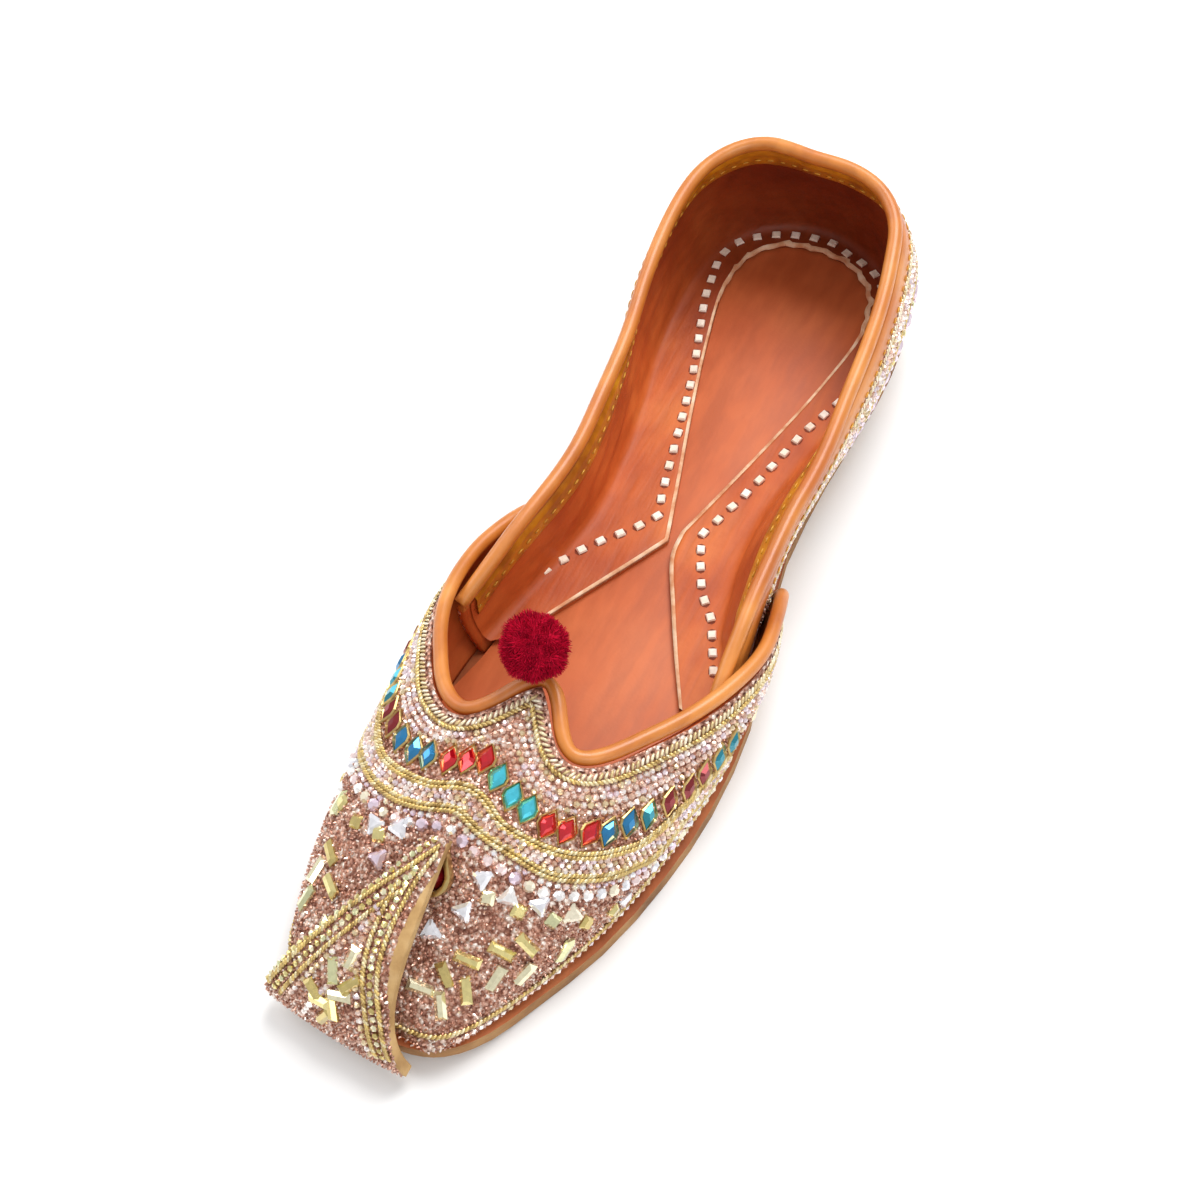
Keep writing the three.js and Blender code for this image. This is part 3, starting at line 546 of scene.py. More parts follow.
diamondLine = [(2.65, 0), (0.5, 1.35), (-0.5, 1.35), (-2.65, 0), (-0.5, -1.35), (0.5, -1.35)]
marquiseLine = [(2.4, 0), (1.3, 0.75), (0, 1.05), (-1.3, 0.75), (-2.4, 0), (-1.3, -0.75), (0, -1.05),
                (1.3, -0.75)]
triangleLine = [(2.3, 0.3), (2.3, -0.3), (-1.0, -2.3), (-1.6, -1.9), (-1.6, 1.9), (-1.0, 2.3)]
shapes = {
    "seed": openStone("seed bead", ring(6, 0.92), 0.5, 0.5, 0.25),
    "gem": cutStone("round stone", ring(8, 1.0), 0.34, 0.5, 0.2),
    "diamond": cutStone("diamond stone", diamondLine, 1.15, 0.42),
    "diamondRim": rimFrame("diamond rim", diamondLine, 0.5, 0.75),
    "marquise": cutStone("leaf stone", marquiseLine, 0.9, 0.45),
    "triangle": cutStone("triangle stone", triangleLine, 1.0, 0.5),
    "square": cutStone("square stone", [(1.5, 1.2), (1.2, 1.5), (-1.2, 1.5), (-1.5, 1.2), (-1.5, -1.2),
                                        (-1.2, -1.5), (1.2, -1.5), (1.5, -1.2)], 1.0, 0.6),
    "baguette": barStone("bar stone", (2.9, 1.2), (2.2, 0.5), 1.15),
    "strand": roundBead("rope strand", (2.1, 0.95, 1.1), 1, True, 0.35),
    "whip": roundBead("whip stitch", (2.5, 0.8, 1.0), 1, True, 0.2),
    "dash": roundBead("dash stitch", (2.2, 0.65, 0.45), 1, True, 0.1),
    "stitch": cutStone("square stitch", [(1.1, 0.95), (-1.1, 0.95), (-1.1, -0.95), (1.1, -0.95)],
                       0.5, 0.8, 0.5),
    "hole": cutStone("stitch hole", ring(10, 3.5, 2.5), 0.03, 0.9, 0.2),
    "dot": roundBead("stitch dot", (0.95, 0.6, 0.5), 1, True),
    "fibre": openStone("wool fibre", ring(3, 0.34), 1.35, 0.3, 0.3),
}

# Finishes

gold = tone(208, 180, 118)
paleGold = tone(234, 218, 174)
deepGold = tone(176, 144, 88)
copperTints = [(0.0, tone(196, 144, 122)), (0.22, tone(226, 184, 164)), (0.4, tone(160, 110, 92)),
               (0.58, tone(240, 214, 200)), (0.7, tone(208, 160, 140)), (0.88, tone(255, 242, 232))]
pinkTints = [(0.0, tone(244, 216, 202)), (0.25, tone(255, 244, 238)), (0.5, tone(222, 182, 160)),
             (0.66, tone(240, 222, 228)), (0.84, tone(230, 208, 168))]
icyTints = [(0.0, tone(255, 252, 250)), (0.24, tone(252, 228, 226)), (0.42, tone(244, 244, 250)),
            (0.6, tone(250, 240, 214)), (0.82, tone(236, 216, 232))]
yellowTints = [(0.0, tone(238, 222, 150)), (0.3, tone(250, 242, 204)), (0.55, tone(216, 194, 120)),
               (0.8, tone(230, 230, 180))]
stoneTints = {"red": 0.05, "darkRed": 0.2, "turquoise": 0.35, "blue": 0.5, "teal": 0.65, "darkTeal": 0.8,
              "clear": 0.95}
stoneRamp = [(0.0, tone(214, 16, 36)), (0.13, tone(138, 8, 22)), (0.28, tone(74, 212, 236)),
             (0.43, tone(26, 128, 184)), (0.58, tone(24, 140, 160)), (0.73, tone(12, 66, 80)),
             (0.88, tone(236, 232, 226))]

finishes = {
    "piping": leather("orange piping leather", {
        "base": tone(208, 127, 50), "deep": tone(188, 101, 33), "light": tone(224, 149, 73),
        "roughness": 0.36, "gloss": 0.5, "coat": 0.3, "grain": 1500, "grainDepth": 0.18,
        "pullDepth": 0.12}),
    "lining": leather("terracotta lining leather", {
        "base": tone(198, 96, 40), "deep": tone(178, 77, 28), "light": tone(212, 115, 54),
        "roughness": 0.52, "grain": 1300, "grainDepth": 0.22, "pullDepth": 0.55, "pulls": 420,
        "stretch": (1, 0.14, 1), "heelShade": (0.055, 0.112)}),
    "footbed": leather("salmon footbed leather", {
        "base": tone(202, 104, 56), "deep": tone(188, 89, 44), "light": tone(212, 118, 70),
        "roughness": 0.5, "grain": 1500, "grainDepth": 0.16, "pullDepth": 0.12, "blotch": 28}),
    "binding": leather("mustard binding leather", {
        "base": tone(204, 130, 12), "deep": tone(166, 94, 4), "light": tone(226, 162, 36), "blotch": 160,
        "roughness": 0.4, "gloss": 0.5, "coat": 0.2, "grain": 800, "grainDepth": 0.7, "pullDepth": 0.5}),
    "tan": leather("tan edge leather", {
        "base": tone(196, 158, 104), "deep": tone(160, 120, 70), "light": tone(216, 184, 134),
        "roughness": 0.62, "grain": 1400, "grainDepth": 0.3, "pullDepth": 0.3, "blotch": 120}),
    "rawEdge": leather("raw cut edge", {
        "base": tone(236, 196, 160), "deep": tone(214, 150, 110), "light": tone(246, 222, 196),
        "roughness": 0.8, "gloss": 0.15, "blotch": 300}),
    "ground": beadCloth("copper bead cloth", {"pitch": 950, "tints": copperTints}),
    "seeds": tinted("copper seed beads", copperTints, 0.75, 0.26, 0.3),
    "pinks": tinted("pale pink crystals", pinkTints, 0.65, 0.18, 0.6),
    "ice": tinted("white rainbow crystals", icyTints, 0.55, 0.1, 0.9),
    "bars": tinted("pale gold stones", yellowTints, 0.8, 0.12, 0.9),
    "jewels": tinted("foiled glass stones", stoneRamp, 0.7, 0.1, 1.0),
    "rope": tinted("gold rope thread", [(0.0, paleGold), (0.35, gold), (0.7, tone(226, 196, 124)),
                                        (0.9, deepGold)], 0.75, 0.34, 0.1),
    "chain": tinted("pale chain thread", [(0.0, tone(240, 226, 190)), (0.4, tone(214, 190, 140)),
                                          (0.75, tone(250, 240, 216))], 0.5, 0.4, 0.1),
    "gilt": tinted("gilt rim metal", [(0.0, gold), (1.0, gold)], 0.95, 0.28, 0.0, "LINEAR"),
    "cream": tinted("cream stitch thread", [(0.0, tone(255, 246, 232)), (1.0, tone(246, 230, 208))],
                    0.0, 0.75, 0.0, "LINEAR"),
    "yellowThread": tinted("yellow stitch thread", [(0.0, tone(224, 168, 60)), (1.0, tone(196, 134, 36))],
                           0.0, 0.6, 0.1, "LINEAR"),
    "dark": tinted("dark stitch thread", [(0.0, tone(96, 44, 20)), (1.0, tone(72, 30, 14))],
                   0.0, 0.8, 0.0, "LINEAR"),
    # Painted shade: the dark colour of the flat disc under each footbed stitch, standing for the dent it
    # pulls in.
    "holes": tinted("pulled leather round a stitch", [(0.0, tone(138, 60, 30)), (1.0, tone(112, 46, 22))],
                    0.0, 0.8, 0.0, "LINEAR"),
    "wool": tinted("crimson wool", [(0.0, tone(172, 3, 42)), (0.5, tone(208, 10, 54)),
                                    (1.0, tone(120, 1, 24))], 0.0, 0.85, 0.0, "LINEAR", 0.12),
}
print("finishes made")

# The vamp: outer skin, throat edge and lines measured from it

vampDials = {"centre": -1.5, "foot": 4.3, "reach": 80, "edgeStep": 1.0, "wingEnd": 2.5, "soleLine": 6.0,
             "edgeTurn": (0.965, 0.035), "edgeRays": 330, "search": (-92.0, 12.0)}
vamp = smoothCopy("vamp", "beaded vamp")
axis = vampDials["centre"] * mm


def fromAxis(point):
    return Vector((point.x - axis, 0, max(point.z - vampDials["foot"] * mm, 0))).normalized()


vamp.data.materials.append(finishes["ground"])
vamp.data.materials.append(finishes["lining"])
for facet in vamp.data.polygons:
    facet.material_index = 0 if facet.normal.dot(fromAxis(facet.center)) > 0.1 else 1
onShoe(vamp, "beaded_cloth", "vamp")


def outerVamp(centre, normal):
    return normal.dot(fromAxis(centre)) > 0.15 or normal.y < -0.5


vampTree = faceTree(vamp, outerVamp)


def vampAt(turn, y):
    way = Vector((math.cos(math.pi * turn), 0, math.sin(math.pi * turn)))
    start = Vector((axis, y * mm, vampDials["foot"] * mm)) + way * vampDials["reach"] * mm
    spot, normal, index, gap = vampTree.ray_cast(start, -way, vampDials["reach"] * mm)
    return (spot, normal) if spot else None


def seenOn(tree, px, py):
    way = photoRay(px, py)
    spot, normal, index, gap = tree.ray_cast(photoPlace, way)
    if spot:
        return spot, normal
    along = (photoPlace + way * reach * mm for reach in range(*photo["depth"], 2))
    best = min((tree.find_nearest(place) for place in along), key=lambda found: found[3])
    return best[0], best[1]


def resampled(points, step):
    lengths = [0.0]
    for a, b in zip(points, points[1:]):
        lengths.append(lengths[-1] + (b - a).length)
    count = max(2, round(lengths[-1] / (step * mm)))
    out, k = [], 0
    for i in range(count + 1):
        want = lengths[-1] * i / count
        while k < len(points) - 2 and lengths[k + 1] < want:
            k += 1
        span = lengths[k + 1] - lengths[k]
        out.append(points[k].lerp(points[k + 1], (want - lengths[k]) / span if span else 0))
    return out


def smoothed(points, rounds=2):
    for _ in range(rounds):
        inner = [(a + 2 * b + c) / 4 for a, b, c in zip(points, points[1:], points[2:])]
        points = [points[0]] + inner + [points[-1]]
    return points


def onSkin(tree, points, rise=0.0):
    trail = []
    for p in points:
        spot, normal, index, gap = tree.find_nearest(p)
        trail.append((spot + normal * rise * mm, normal))
    normals = smoothed([n for p, n in trail], 1)
    return [(p, n.normalized()) for (p, old), n in zip(trail, normals)]


def headings(points):
    last = len(points) - 1
    return [(points[min(k + 1, last)] - points[max(k - 1, 0)]).normalized() for k in range(last + 1)]


# Steps along the skin, away from the opening, from each point of a line.
def aside(tree, trail, reach, stride=2.0):
    out = []
    for (p, n), t in zip(trail, headings([p for p, n in trail])):
        away = t.cross(n).normalized()
        steps = max(1, round(abs(reach) / stride))
        for _ in range(steps):
            spot, normal, index, gap = tree.find_nearest(p + away * (reach / steps) * mm)
            away = (away - normal * away.dot(normal)).normalized()
            p, n = spot, normal
        out.append((p, n))
    return out


def throatEdge():
    points = []
    first, last = vampDials["edgeTurn"]
    for k in range(vampDials["edgeRays"] + 1):
        turn = first + (last - first) * k / vampDials["edgeRays"]
        low, high = vampDials["search"]
        for _ in range(16):
            middle = (low + high) / 2
            low, high = (middle, high) if vampAt(turn, middle) else (low, middle)
        points.append(vampAt(turn, low)[0])
    return onSkin(vampTree, smoothed(resampled(points, vampDials["edgeStep"]), 3))


def treeOf(points):
    tree = KDTree(len(points))
    for k, p in enumerate(points):
        tree.insert(p, k)
    tree.balance()
    return tree


throat = throatEdge()
throatKd = treeOf([p for p, n in throat])


def keptOnVamp(point):
    return point.y < vampDials["wingEnd"] * mm and point.z > vampDials["soleLine"] * mm


fieldDials = {"turns": 260, "turnEdge": 0.015, "lengths": 118, "toe": -112}


# The outer skin as a net of points, each with its distance from the throat.
def throatField():
    net = []
    for i in range(fieldDials["turns"] + 1):
        turn = fieldDials["turnEdge"] + (1 - 2 * fieldDials["turnEdge"]) * i / fieldDials["turns"]
        hits = [vampAt(turn, fieldDials["toe"] + j) for j in range(fieldDials["lengths"] + 1)]
        net.append([(h[0], h[1], throatKd.find(h[0])[2] / mm) if h else None for h in hits])
    return net


field = throatField()


# Lines at one distance from the throat, as points, outward directions and edges.
def offsetLines(reach, keep=keptOnVamp):
    points, outward, edges, known = [], [], [], {}

    def crossing(a, b):
        if (a, b) not in known:
            (p, n, f), (q, m, g) = field[a[0]][a[1]], field[b[0]][b[1]]
            share = (reach - f) / (g - f)
            known[a, b] = len(points)
            points.append(p.lerp(q, share))
            outward.append(n.lerp(m, share).normalized())
        return known[a, b]

    for i in range(fieldDials["turns"]):
        for j in range(fieldDials["lengths"]):
            corners = [(i, j), (i + 1, j), (i + 1, j + 1), (i, j + 1)]
            values = [field[a][b] for a, b in corners]
            if None in values:
                continue
            cuts = [crossing(corners[a], corners[b]) for a, b in ((0, 1), (1, 2), (3, 2), (0, 3))
                    if (values[a][2] < reach) != (values[b][2] < reach)]
            if len(cuts) == 2 and all(keep(points[k]) for k in cuts):
                edges.append(tuple(cuts))
    return points, outward, edges


def linesTogether(parts):
    points, outward, edges = [], [], []
    for some, ways, pairs in parts:
        edges += [(a + len(points), b + len(points)) for a, b in pairs]
        points, outward = points + some, outward + ways
    return points, outward, edges


def curveThrough(points, step=1.0):
    out = []
    ends = [points[0] * 2 - points[1]] + points + [points[-1] * 2 - points[-2]]
    for a, b, c, d in zip(ends, ends[1:], ends[2:], ends[3:]):
        for k in range(8):
            t = k / 8
            out.append(0.5 * (2 * b + (c - a) * t + (2 * a - 5 * b + 4 * c - d) * t ** 2
                              + (3 * b - a - 3 * c + d) * t ** 3))
    return resampled(out + [points[-1]], step)


# A line seen in the photograph, carried on along both sides at its own distance from the edge.
def seenLine(pixels, sideReach, share):
    seen = [seenOn(vampTree, px, py)[0] for px, py in pixels]
    edges = [throatKd.find(seen[0]), throatKd.find(seen[-1])]

    def carried(first, last, startReach):
        step = 5 if last > first else -5
        out = []
        for i in range(first + 2 * step, last, step):
            blend = min(1, abs(i - first) / 26)
            room = throat[i][0].z / mm - vampDials["foot"]  # the lines draw together towards the wing's tip
            reach = min(startReach + (sideReach - startReach) * blend, share * room)
            p, n = aside(vampTree, throat[max(i - 1, 0):i + 2], reach)[1 if i > 0 else 0]
            if throatKd.find(p)[2] > 0.9 * reach * mm and keptOnVamp(p):
                out.append(p)
        return out

    before = carried(edges[0][1], 4, edges[0][2] / mm)
    after = carried(edges[1][1], len(throat) - 5, edges[1][2] / mm)
    return onSkin(vampTree, smoothed(curveThrough(list(reversed(before)) + seen + after), 3))


ropeOne = seenLine([(304, 607), (305, 629), (312, 639), (323, 646), (341, 653), (358, 653), (369, 655),
                    (381, 665), (391, 680), (406, 689), (423, 697), (440, 701), (458, 701), (475, 697),
                    (492, 690)], 12.5, 0.62)
ropeTwo = seenLine([(290, 628), (292, 642), (300, 655), (318, 667), (341, 672), (358, 673), (369, 684),
                    (383, 695), (400, 705), (423, 718), (446, 720), (469, 717), (487, 709), (500, 701)],
                   17.0, 0.8)
print("throat", len(throat), "ropes", len(ropeOne), len(ropeTwo))

kdOf, awayOf = {}, {}


# Keeps a sewn line, so that beyond() can measure from it.
def remember(name, trail):
    points = [p for p, n in trail]
    kdOf[name] = treeOf(points)
    awayOf[name] = [t.cross(n) for (p, n), t in zip(trail, headings(points))]


# Signed distance in front of a remembered line, in millimetres.
def beyond(name, point):
    near, index, gap = kdOf[name].find(point)
    return math.copysign(gap / mm, (point - near).dot(awayOf[name][index]))


remember("ropeOne", ropeOne)
remember("ropeTwo", ropeTwo)


# The quarter: its path runs from the outer front end round the heel to the inner front end

quarterDials = {"front": -29.0, "turnStart": 80.0, "radius": 33.0, "low": 8.0, "high": 60.0, "reach": 90.0,
                "topStep": 2.0, "hiddenByWing": 30.0}
quarter = smoothCopy("quarter", "beaded quarter")
straight = quarterDials["turnStart"] - quarterDials["front"]
roundHeel = math.pi * quarterDials["radius"]
wholePath = 2 * straight + roundHeel


def quarterRay(s):
    if s < straight:
        return Vector((axis, (quarterDials["front"] + s) * mm, 0)), Vector((1, 0, 0))
    if s > straight + roundHeel:
        return Vector((axis, (quarterDials["front"] + wholePath - s) * mm, 0)), Vector((-1, 0, 0))
    angle = (s - straight) / quarterDials["radius"]
    return Vector((axis, quarterDials["turnStart"] * mm, 0)), Vector((math.cos(angle), math.sin(angle), 0))


def outOfQuarter(point):
    if point.y < quarterDials["turnStart"] * mm:
        return Vector((math.copysign(1, point.x - axis), 0, 0))
    return Vector((point.x - axis, point.y - quarterDials["turnStart"] * mm, 0)).normalized()


quarterOuter = faceTree(quarter, lambda c, n: n.dot(outOfQuarter(c)) > 0.2)
quarterInner = faceTree(quarter, lambda c, n: n.dot(outOfQuarter(c)) < -0.2)
quarter.data.materials.append(finishes["ground"])
quarter.data.materials.append(finishes["lining"])
for facet in quarter.data.polygons:
    facet.material_index = 0 if facet.normal.dot(outOfQuarter(facet.center)) > 0 else 1
onShoe(quarter, "beaded_cloth", "quarter")


def outsideAt(s, z):
    start, way = quarterRay(s)
    reach = quarterDials["reach"] * mm
    start = start + way * reach + Vector((0, 0, z * mm))
    spot, normal, index, gap = quarterOuter.ray_cast(start, -way, reach)
    return (spot, normal) if spot else None


def insideAt(s, z):
    start, way = quarterRay(s)
    start = start + Vector((0, 0, z * mm))
    spot, normal, index, gap = quarterInner.ray_cast(start, way, quarterDials["reach"] * mm)
    return (spot, normal) if spot else None


def topAt(s):
    low, high = quarterDials["low"], quarterDials["high"]
    for _ in range(14):
        middle = (low + high) / 2
        low, high = (middle, high) if outsideAt(s, middle) else (low, middle)
    return low


tops = [topAt(k * quarterDials["topStep"]) for k in range(int(wholePath / quarterDials["topStep"]) + 1)]
windows = [tops[max(0, k - 1):k + 2] for k in range(len(tops))]
tops = [sum(window) / len(window) for window in windows]


def topOf(s):
    k = min(max(s / quarterDials["topStep"], 0), len(tops) - 1.001)
    return tops[int(k)] + (tops[int(k) + 1] - tops[int(k)]) * (k - int(k))


def pathAt(point):
    if point.y < quarterDials["turnStart"] * mm:
        s = point.y / mm - quarterDials["front"]
        return s if point.x > axis else wholePath - s
    way = outOfQuarter(point)
    return straight + math.atan2(way.y, way.x) * quarterDials["radius"]


# A line round the quarter, given its height as a function of the place on the path.
def roundQuarter(height, first, last, step=1.5, side=outsideAt, rise=0.0, lean=None):
    trail, s = [], first
    while s <= last:
        hit = side(s, height(s))
        if hit:
            lift = rise + (lean(s, height(s)) if lean else 0)
            trail.append((hit[0] + hit[1] * lift * mm, hit[1]))
        s += step
    normals = smoothed([n for p, n in trail], 2)
    places = smoothed([p for p, n in trail], 1)
    return [(p, n.normalized()) for p, n in zip(places, normals)]


shownFrom = quarterDials["hiddenByWing"]  # the wings cover what lies in front of this
shownTo = wholePath - shownFrom
middleOfPath = wholePath / 2
print("quarter", round(wholePath), "top at the waist", round(topOf(60), 1), "at the heel",
      round(topOf(middleOfPath), 1))

# Along the throat: piping, its stitches, whipped edge, crystals, jewels and ropes

shapes["smallCrystal"] = cutStone("small crystal", ring(6, 1.65), 0.85, 0.5, 0.25)
shapes["bigCrystal"] = cutStone("big crystal", ring(8, 2.9), 1.15, 0.5, 0.35)
shapes["clearBead"] = roundBead("clear bead", (1.7, 1.7, 1.3), lift=0.25)
shapes["rowStone"] = cutStone("row stone", ring(8, 3.3), 1.2, 0.5, 0.35)
shapes["rowRim"] = rimFrame("row rim", ring(10, 3.4), 0.35, 0.75, 0.3)

throatDials = {"dots": (1.0, 2.1), "chain": (2.0, 1.2, 0.95), "chainFoot": (3.2, 0.95, 0.6),
               "pinkFirst": 4.5, "pinkStep": 1.5, "pinkRows": 10, "pinkPitch": 1.5, "clearOfJewels": 2.9}
vampPiping = smoothCopy("vamp_piping", "throat piping", 2, 60)
vampPiping.data.materials.append(finishes["piping"])
onShoe(vampPiping, "piping_leather", "vamp_piping")

reach, pitch = throatDials["dots"]
sewLines("throat stitch dots", offsetLines(reach), shapes["dot"], finishes["dark"], "piping_leather",
         pitch)
reach, pitch, slant = throatDials["chain"]
sewLines("throat whipped edge", offsetLines(reach), shapes["whip"], finishes["chain"], "beaded_cloth",
         pitch, slant=slant, twist=0.08, seed=3)
reach, pitch, slant = throatDials["chainFoot"]
sewLines("throat fine rope", offsetLines(reach), shapes["strand"], finishes["rope"], "beaded_cloth",
         pitch, slant=-slant, twist=0.1, seed=4)

jewels = [(310.8, 602, "darkRed"), (313.6, 612, "darkRed"), (319, 622, "blue"), (327, 630, "blue"),
          (338, 634, "blue"), (352, 637, "red"), (366, 637, "red"), (381, 636, "red"),
          (388, 649.5, "turquoise"), (397.5, 662, "turquoise"), (409, 671, "turquoise"),
          (421.6, 681, "red"), (437, 685.5, "red"),
          (452, 686.5, "red"), (465, 686.5, "blue"), (480, 679.5, "blue"), (493.3, 674, "teal"),
          (508.6, 663.3, "darkRed"), (520.7, 655.3, "darkRed"), (531, 645, "darkRed")]
jewelDials = {"pitch": 4.3, "tilt": (58, 122), "size": (1.14, 1.24, 1.1), "sideReach": 9.0, "sideShare": 0.43,
              "sideHues": ("teal", "teal", "blue", "darkRed", "darkRed", "red")}
jewelLine = seenLine([(px, py) for px, py, hue in jewels], jewelDials["sideReach"], jewelDials["sideShare"])
jewelHeadings = headings([p for p, n in jewelLine])
remember("jewels", jewelLine)


def jewelSpot(index, hue):
    point, normal = jewelLine[index]
    tangent = jewelHeadings[index]
    least, most = (math.radians(a) for a in jewelDials["tilt"])
    angle = math.acos(max(-1, min(1, tangent.dot(Vector((0, 1, 0))))))  # each points to the heel
    ahead = Matrix.Rotation(max(least, min(most, angle)), 3, normal) @ tangent
    return point, normal, ahead, jewelDials["size"], stoneTints[hue]


jewelSpots, used = [], []
for px, py, hue in jewels:
    index = kdOf["jewels"].find(seenOn(vampTree, px, py)[0])[1]
    used.append(index)
    jewelSpots.append(jewelSpot(index, hue))
for index, way in ((min(used), -1), (max(used), 1)):  # the row goes on along both sides
    run, count = 0, 0
    while 0 < index < len(jewelLine) - 1:
        run += (jewelLine[index + way][0] - jewelLine[index][0]).length
        index += way
        if run >= jewelDials["pitch"] * mm:
            jewelSpots.append(jewelSpot(index, jewelDials["sideHues"][count % 6]))
            run, count = 0, count + 1
setSpots("throat jewels", jewelSpots, shapes["diamond"], finishes["jewels"], "red_glass", lean=0.1, seed=5)
setSpots("throat jewel rims", jewelSpots, shapes["diamondRim"], finishes["gilt"], "gilt_metal")


def behindJewels(point):
    return keptOnVamp(point) and beyond("jewels", point) < -throatDials["clearOfJewels"]


pinkLines = linesTogether([offsetLines(throatDials["pinkFirst"] + k * throatDials["pinkStep"], behindJewels)
                           for k in range(throatDials["pinkRows"])])
sewLines("throat crystals", pinkLines, shapes["smallCrystal"], finishes["pinks"], "beaded_cloth",
         throatDials["pinkPitch"], smallest=0.78, twist=3.0, lean=0.22, seed=6)

ropeDials = {"pitch": 0.9, "slant": 0.62}
ropes = [ropeOne, ropeTwo, aside(vampTree, ropeOne, 1.0), aside(vampTree, ropeTwo, -1.0)]
sewRows("gold ropes", ropes, shapes["strand"], finishes["rope"], "beaded_cloth", ropeDials["pitch"],
        slant=ropeDials["slant"], twist=0.1, seed=7)

bandLines = []
for share in (0.3, 0.5, 0.7):
    line = [p.lerp(kdOf["ropeTwo"].find(p)[0], share) for p, n in ropeOne]
    bandLines.append(onSkin(vampTree, smoothed(line, 4)))
sewRows("band crystals", bandLines, shapes["smallCrystal"], finishes["pinks"], "beaded_cloth", 1.5,
        smallest=0.8, twist=3.0, lean=0.2, seed=8)
print("throat sewn")

# Outside the ropes: round crystals, triangles, squares, bars and the seed-bead ground

crystalLine = onSkin(vampTree, smoothed([p for p, n in aside(vampTree, ropeTwo, 3.3)], 4))
crystalLine = [(p, n) for p, n in crystalLine if keptOnVamp(p)]
sewRows("round crystals", [crystalLine], shapes["bigCrystal"], finishes["ice"], "beaded_cloth", 3.2,
        smallest=0.8, twist=3.0, lean=0.3, seed=9)
edgeCrystals = onSkin(vampTree, smoothed([p for p, n in aside(vampTree, ropeTwo, 1.3)], 3))
sewRows("crystals beside the rope", [[(p, n) for p, n in edgeCrystals if keptOnVamp(p)]],
        shapes["smallCrystal"], finishes["ice"], "beaded_cloth", 1.8, smallest=0.7, twist=3.0, lean=0.2,
        seed=10)

flap = smoothCopy("toe_flap", "beaded toe flap", 3, 50, 0.9)
flapCore = Vector((-11, -88, 8)) * mm


def flapFacing(centre, normal):
    way = centre - flapCore
    return normal.dot(Vector((way.x * 0.15, way.y, way.z)).normalized())


flapTree = faceTree(flap, lambda c, n: flapFacing(c, n) > 0.45)


def pixelSpot(tree, px, py, angle, size, tint):
    point, normal = seenOn(tree, px, py)
    turned = math.radians(angle)
    other = seenOn(tree, px + 4 * math.cos(turned), py + 4 * math.sin(turned))[0]
    return point, normal, (other - point).normalized(), size, tint


chances = random.Random(11)


# Stones that the photograph shows, as pixel and heading in the picture.
def seenStones(tree, places, size=(1, 1, 1)):
    return [pixelSpot(tree, px, py, turn, size, chances.random()) for px, py, turn in places]


stoneDials = {"rowReach": 8.2, "rowPitch": 4.4, "rowSize": (0.95, 0.95, 1), "lowest": 9, "clearOfRow": 3,
              "hiddenBars": 34, "barTries": 900, "barGap": 7.5, "barReach": 13}
triangles = seenStones(vampTree, [(300, 682, 250), (318, 685, 300), (303, 707, 80), (341, 756, 270),
                                  (364, 742, 310), (377, 720, 90), (396, 732, 285), (418, 738, 80),
                                  (441, 743, 275)])
squares = seenStones(vampTree, [(287, 681, 20), (303, 690, 5), (381, 733, 10), (403, 742, 25),
                                (427, 748, 35), (450, 749, 20), (469, 740, 50)])
medialFrom, lateralFrom = (seenOn(vampTree, px, py)[0].y + stoneDials["clearOfRow"] * mm
                           for px, py in ((287, 681), (469, 740)))
outer = onSkin(vampTree, smoothed([p for p, n in aside(vampTree, ropeTwo, stoneDials["rowReach"])], 4))
travelled, lastPoint, count = 0, None, 0
for (p, n), t in zip(outer, headings([p for p, n in outer])):  # both kinds go on along the sides
    hidden = (p.x > 0 and p.y > lateralFrom) or (p.x < 0 and p.y > medialFrom)
    if not hidden or not keptOnVamp(p) or p.z < stoneDials["lowest"] * mm:
        continue
    travelled += (p - lastPoint).length if lastPoint else 2 * stoneDials["rowPitch"] * mm
    lastPoint = p
    if travelled > stoneDials["rowPitch"] * mm:
        travelled = 0
        count += 1
        way = t.cross(n) if count % 4 else -t.cross(n)
        (triangles if count % 2 else squares).append((p, n, way, stoneDials["rowSize"], chances.random()))
setSpots("white triangles", triangles, shapes["triangle"], finishes["ice"], "beaded_cloth", lean=0.12,
         seed=12)
setSpots("gold squares", squares, shapes["square"], finishes["bars"], "beaded_cloth", lean=0.12, seed=13)

barSpots = seenStones(vampTree, [
    (367, 776, 20), (391, 770, 25), (409, 765, 45), (366, 797, 84), (387, 789, -60), (407, 785, -55),
    (435, 768, -65), (348, 808, 84), (351, 787, 70), (334, 796, 20), (269, 703, 70), (259, 715, 115),
    (269, 726, 60), (252, 735, 125), (275, 668, 110)])
wanted, tries = len(barSpots) + stoneDials["hiddenBars"], 0
while len(barSpots) < wanted and tries < stoneDials["barTries"]:  # the flanks that the photograph hides
    tries += 1
    turn = chances.choice((chances.uniform(0.04, 0.3), chances.uniform(0.7, 0.96)))
    hit = vampAt(turn, chances.uniform(-106, -8))
    if not hit or hit[0].z < stoneDials["lowest"] * mm or beyond("ropeTwo", hit[0]) < stoneDials["barReach"]:
        continue
    p, n = hit
    if any((p - s[0]).length < stoneDials["barGap"] * mm for s in barSpots + triangles + squares):
        continue
    ahead = Matrix.Rotation(chances.uniform(0, math.pi), 3, n) @ n.orthogonal()
    barSpots.append((p, n, ahead, (1, 1, 1), chances.random()))
setSpots("gold bars", barSpots, shapes["baguette"], finishes["bars"], "beaded_cloth", lean=0.28, seed=14)


seedDials = {"pitch": 0.82, "foot": 5, "clearOfRope": 0.6, "behindJewels": 3.4}


